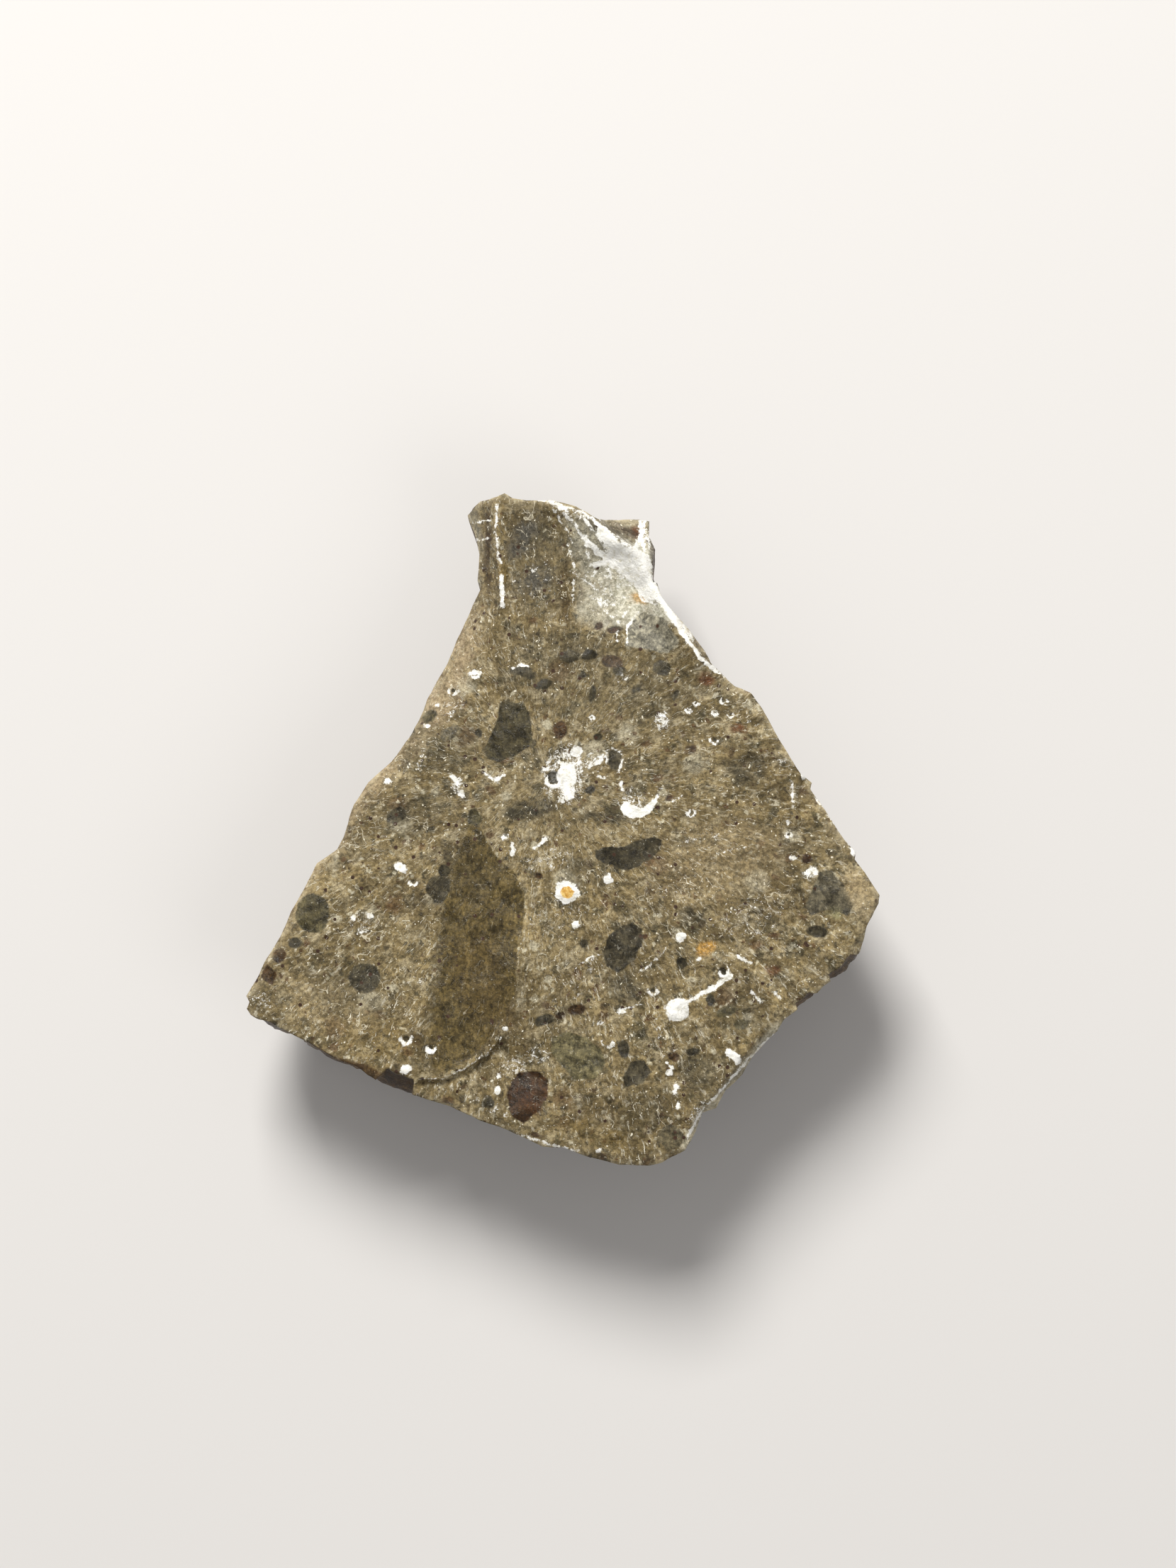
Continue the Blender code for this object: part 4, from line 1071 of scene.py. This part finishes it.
def lay_clasts(s, colour, clast):
    """The clasts, patchy stains over everything, and scratches and painted glints on the clasts."""
    plain = s.layer("clast_tone", "Color")
    pale = s.mix(s.span(s.noise(s.bent, 3.4, 6.0, 0.7), 0.35, 0.68), plain, "clast_pale")
    tone = s.tint(s.mix(0.06, plain, pale), s.span(s.noise(s.torn, 3.0, 5.0, 0.75), 0.36, 0.66, 0.4, 1.9))
    tone = s.tint(tone, s.grained(0.32, 0.68, (0.6, 0.6, 0.6), (1.48, 1.44, 1.36)))
    colour = s.mix(clast, colour, tone)
    stain = s.layer("stain", "Color")
    strength = stain.node.outputs["Alpha"]
    patchy = s.span(s.noise(s.torn, 3.0, 5.0, 0.75), 0.34, 0.58, 0.42, 1.0)
    tone = s.vector("DIVIDE", stain, s.maths("MAXIMUM", strength, 0.001))
    share = s.times(s.times(strength, patchy), s.span(clast, 0.0, 1.0, 1.0, 0.45))
    colour = s.mix(share, colour, s.tint(tone, s.span(s.grain, 0.36, 0.64, 0.6, 1.45)))
    drawn = s.vector("MULTIPLY", s.bent, (15.0, 2.2, 4.0))
    scratch = s.span(s.noise(drawn, 1.0, 3.0, 0.6), 0.38, 0.62, 0.82, 1.2)
    colour = s.mix(clast, colour, s.tint(colour, scratch))
    clast_glints = s.span(s.noise(s.torn, 7.5, 4.0, 0.75), 0.66, 0.72, 0.0, 0.55)
    return s.mix(s.times(clast_glints, clast), colour, "clast_spark")


def lay_specks(s, colour, clast, turned, along):
    """Brown specks, painted glints along the fibres, cream specks and thin bright threads of painted
    highlight.
    """
    reach, chance = s.cells(s.place, 3.9)
    colour = s.mix(s.chosen(s.span(reach, 0.28, 0.18), chance[0], 0.85), colour, "brown_speck")
    ground = s.rest(s.times(clast, 0.8))
    across = s.vector("MULTIPLY", turned, (1.7, 1.7, 0.0))
    dash = s.vector("ADD", across, s.vector("MULTIPLY", along, (0.0, 0.0, 0.75)))
    glint = s.span(s.noise(dash, 1.0, 3.0, 0.7), 0.635, 0.69, 0.0, 0.95)
    clump = s.span(s.noise(s.bent, 1.1, 3.0, 0.6), 0.4, 0.6, 0.15, 1.0)
    colour = s.mix(s.times(s.times(glint, clump), s.times(ground, s.flat)), colour, "glint")
    for scale, rarity, size in CREAM_SPECKS:
        reach, chance = s.cells(s.bent, scale)
        core = s.times(s.span(reach, size, size * 0.55), ground)
        colour = s.mix(s.chosen(core, chance[0], rarity), colour, "cream_speck")
    # Painted highlights: thin bright threads.
    for scale, shift in HIGHLIGHT_THREADS:
        moved = s.vector("ADD", s.bent, shift)
        line = s.maths("ABSOLUTE", s.maths("SUBTRACT", s.noise(moved, scale, 2.0, 0.5), 0.5))
        thread = s.span(line, 0.007, 0.002)
        share = s.times(s.times(thread, s.span(s.noise(moved, 1.3, 3.0, 0.55), 0.56, 0.63)), 0.7)
        colour = s.mix(s.times(share, ground), colour, "thread")
    return colour


def lay_white(s, colour, clast):
    """White grains, veins and loose powder, painted highlights and glints, and the amber grain. Also says
    where the white lies.
    """
    crumb = s.noise(s.place, 7.0, 5.0, 0.75)
    crumbs = s.times(s.maths("SUBTRACT", crumb, 0.5), 0.24)
    white = s.span(s.maths("ADD", s.layer("white_gap"), crumbs), 0.015, -0.02)
    powder = s.layer("powder")
    loose = s.span(s.maths("ADD", s.noise(s.torn, 6.5, 5.0, 0.8), s.times(powder, 0.24)), 0.66, 0.73)
    loose = s.times(loose, s.rest(s.times(clast, 0.9)))
    white = s.maths("MAXIMUM", white, s.times(loose, s.span(powder, 0.02, 0.15)))
    cream = s.mix(s.span(s.noise(s.bent, 6.0, 4.0, 0.7), 0.3, 0.52), "cream", "white")
    colour = s.mix(white, colour, cream)
    amber = s.span(s.maths("ADD", s.layer("amber_gap"), s.times(crumbs, 0.5)), 0.01, -0.03)
    return s.mix(amber, colour, s.mix(s.span(crumb, 0.4, 0.6), "amber", "gold")), white


def lay_rim_highlight_and_wall(s, colour):
    """A painted highlight along the rim, then the darker brown wall and underside."""
    rim = s.times(s.layer("rim"), s.span(s.noise(s.place, 1.8, 4.0, 0.7), 0.45, 0.62, 0.0, 0.8))
    colour = s.mix(rim, colour, "worn_rim")
    # The wall and underside are painted a darker brown, patchy down to near black.
    wall_tone = s.mix(s.span(s.noise(s.bent, 1.5, 5.0, 0.7), 0.4, 0.66), "rind_dark", "rind_brown")
    bare = s.span(s.noise(s.torn, 1.9, 6.0, 0.75), 0.37, 0.56, 0.12, 0.95)
    return s.mix(s.wall, colour, s.mix(bare, wall_tone, s.tint(colour, "wall_shade")))


def breccia_material():
    """The stone's material. Its markings are read from the skin, and noise adds what is finer."""
    material = bpy.data.materials.new("breccia")
    material.use_nodes = True
    s = Shades(material.node_tree)
    turned, along = fan_vectors(s)
    clast = clast_cover(s)
    colour = lay_lit_strip_and_milk_sheen(s, lay_fibres(s, ground_colour(s), turned, along))
    colour = lay_specks(s, lay_clasts(s, colour, clast), clast, turned, along)
    colour, white = lay_white(s, colour, clast)
    dull = s.span(s.noise(s.place, 3.0, 5.0, 0.7), 0.35, 0.65, 0.26, 0.5)
    dull = s.maths("SUBTRACT", dull, s.times(clast, 0.07))
    bumps = {
        "Distance": BUMP_DEPTH, "Strength": s.times(s.rest(s.times(clast, 0.55)), 0.75),
        "Height": s.noise(s.place, 11.0, 6.0, 0.72),
    }
    inputs = material.node_tree.nodes["Principled BSDF"].inputs
    s.feed(inputs["Base Color"], lay_rim_highlight_and_wall(s, colour))
    s.feed(inputs["Roughness"], s.maths("SUBTRACT", dull, s.times(white, 0.12)))
    s.feed(inputs["Specular IOR Level"], GLOSS)
    s.feed(inputs["Normal"], s.join("Bump", bumps))
    return material


def plain_material(name, colour, roughness):
    material = bpy.data.materials.new(name)
    material.use_nodes = True
    shader = material.node_tree.nodes["Principled BSDF"]
    shader.inputs["Base Color"].default_value = colour + (1.0,)
    shader.inputs["Roughness"].default_value = roughness
    return material


def add_floor():
    bpy.ops.mesh.primitive_plane_add(size=FLOOR_SIZE, location=(0.0, 0.0, FLOOR_HEIGHT))
    floor = bpy.context.object
    floor.name = "floor"
    floor.data.materials.append(plain_material("floor_paper", FLOOR_COLOUR, 0.85))


def add_light(name, place, size, power, colour):
    data = bpy.data.lights.new(name, "AREA")
    data.shape = "SQUARE"
    data.size = size
    data.energy = power
    data.color = colour
    lamp = bpy.data.objects.new(name, data)
    lamp.location = place
    aim = Vector(LIGHT_AIM) - Vector(place)
    lamp.rotation_euler = aim.to_track_quat("-Z", "Y").to_euler()
    bpy.context.scene.collection.objects.link(lamp)


def add_camera():
    """Straight down on the face. At the rim the frame is as tall as the view height, in millimetres."""
    data = bpy.data.cameras.new("camera")
    data.sensor_width = SENSOR_SIZE
    data.lens = SENSOR_SIZE * CAMERA_REACH / VIEW_HEIGHT
    data.clip_start = 0.005
    data.clip_end = 10.0
    camera = bpy.data.objects.new("camera", data)
    camera.location = CAMERA_PLACE
    bpy.context.scene.collection.objects.link(camera)
    bpy.context.scene.camera = camera


def add_world():
    world = bpy.data.worlds.new("studio")
    world.use_nodes = True
    background = world.node_tree.nodes["Background"]
    background.inputs["Color"].default_value = WORLD_COLOUR
    background.inputs["Strength"].default_value = WORLD_STRENGTH
    bpy.context.scene.world = world


def main():
    skin = build_skin()
    skin.data.materials.append(breccia_material())
    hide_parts("meteorite")
    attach(skin, "root")
    add_floor()
    add_camera()
    for light in LIGHTS:
        add_light(*light)
    add_world()
    bpy.context.scene.view_settings.view_transform = "Standard"


main()
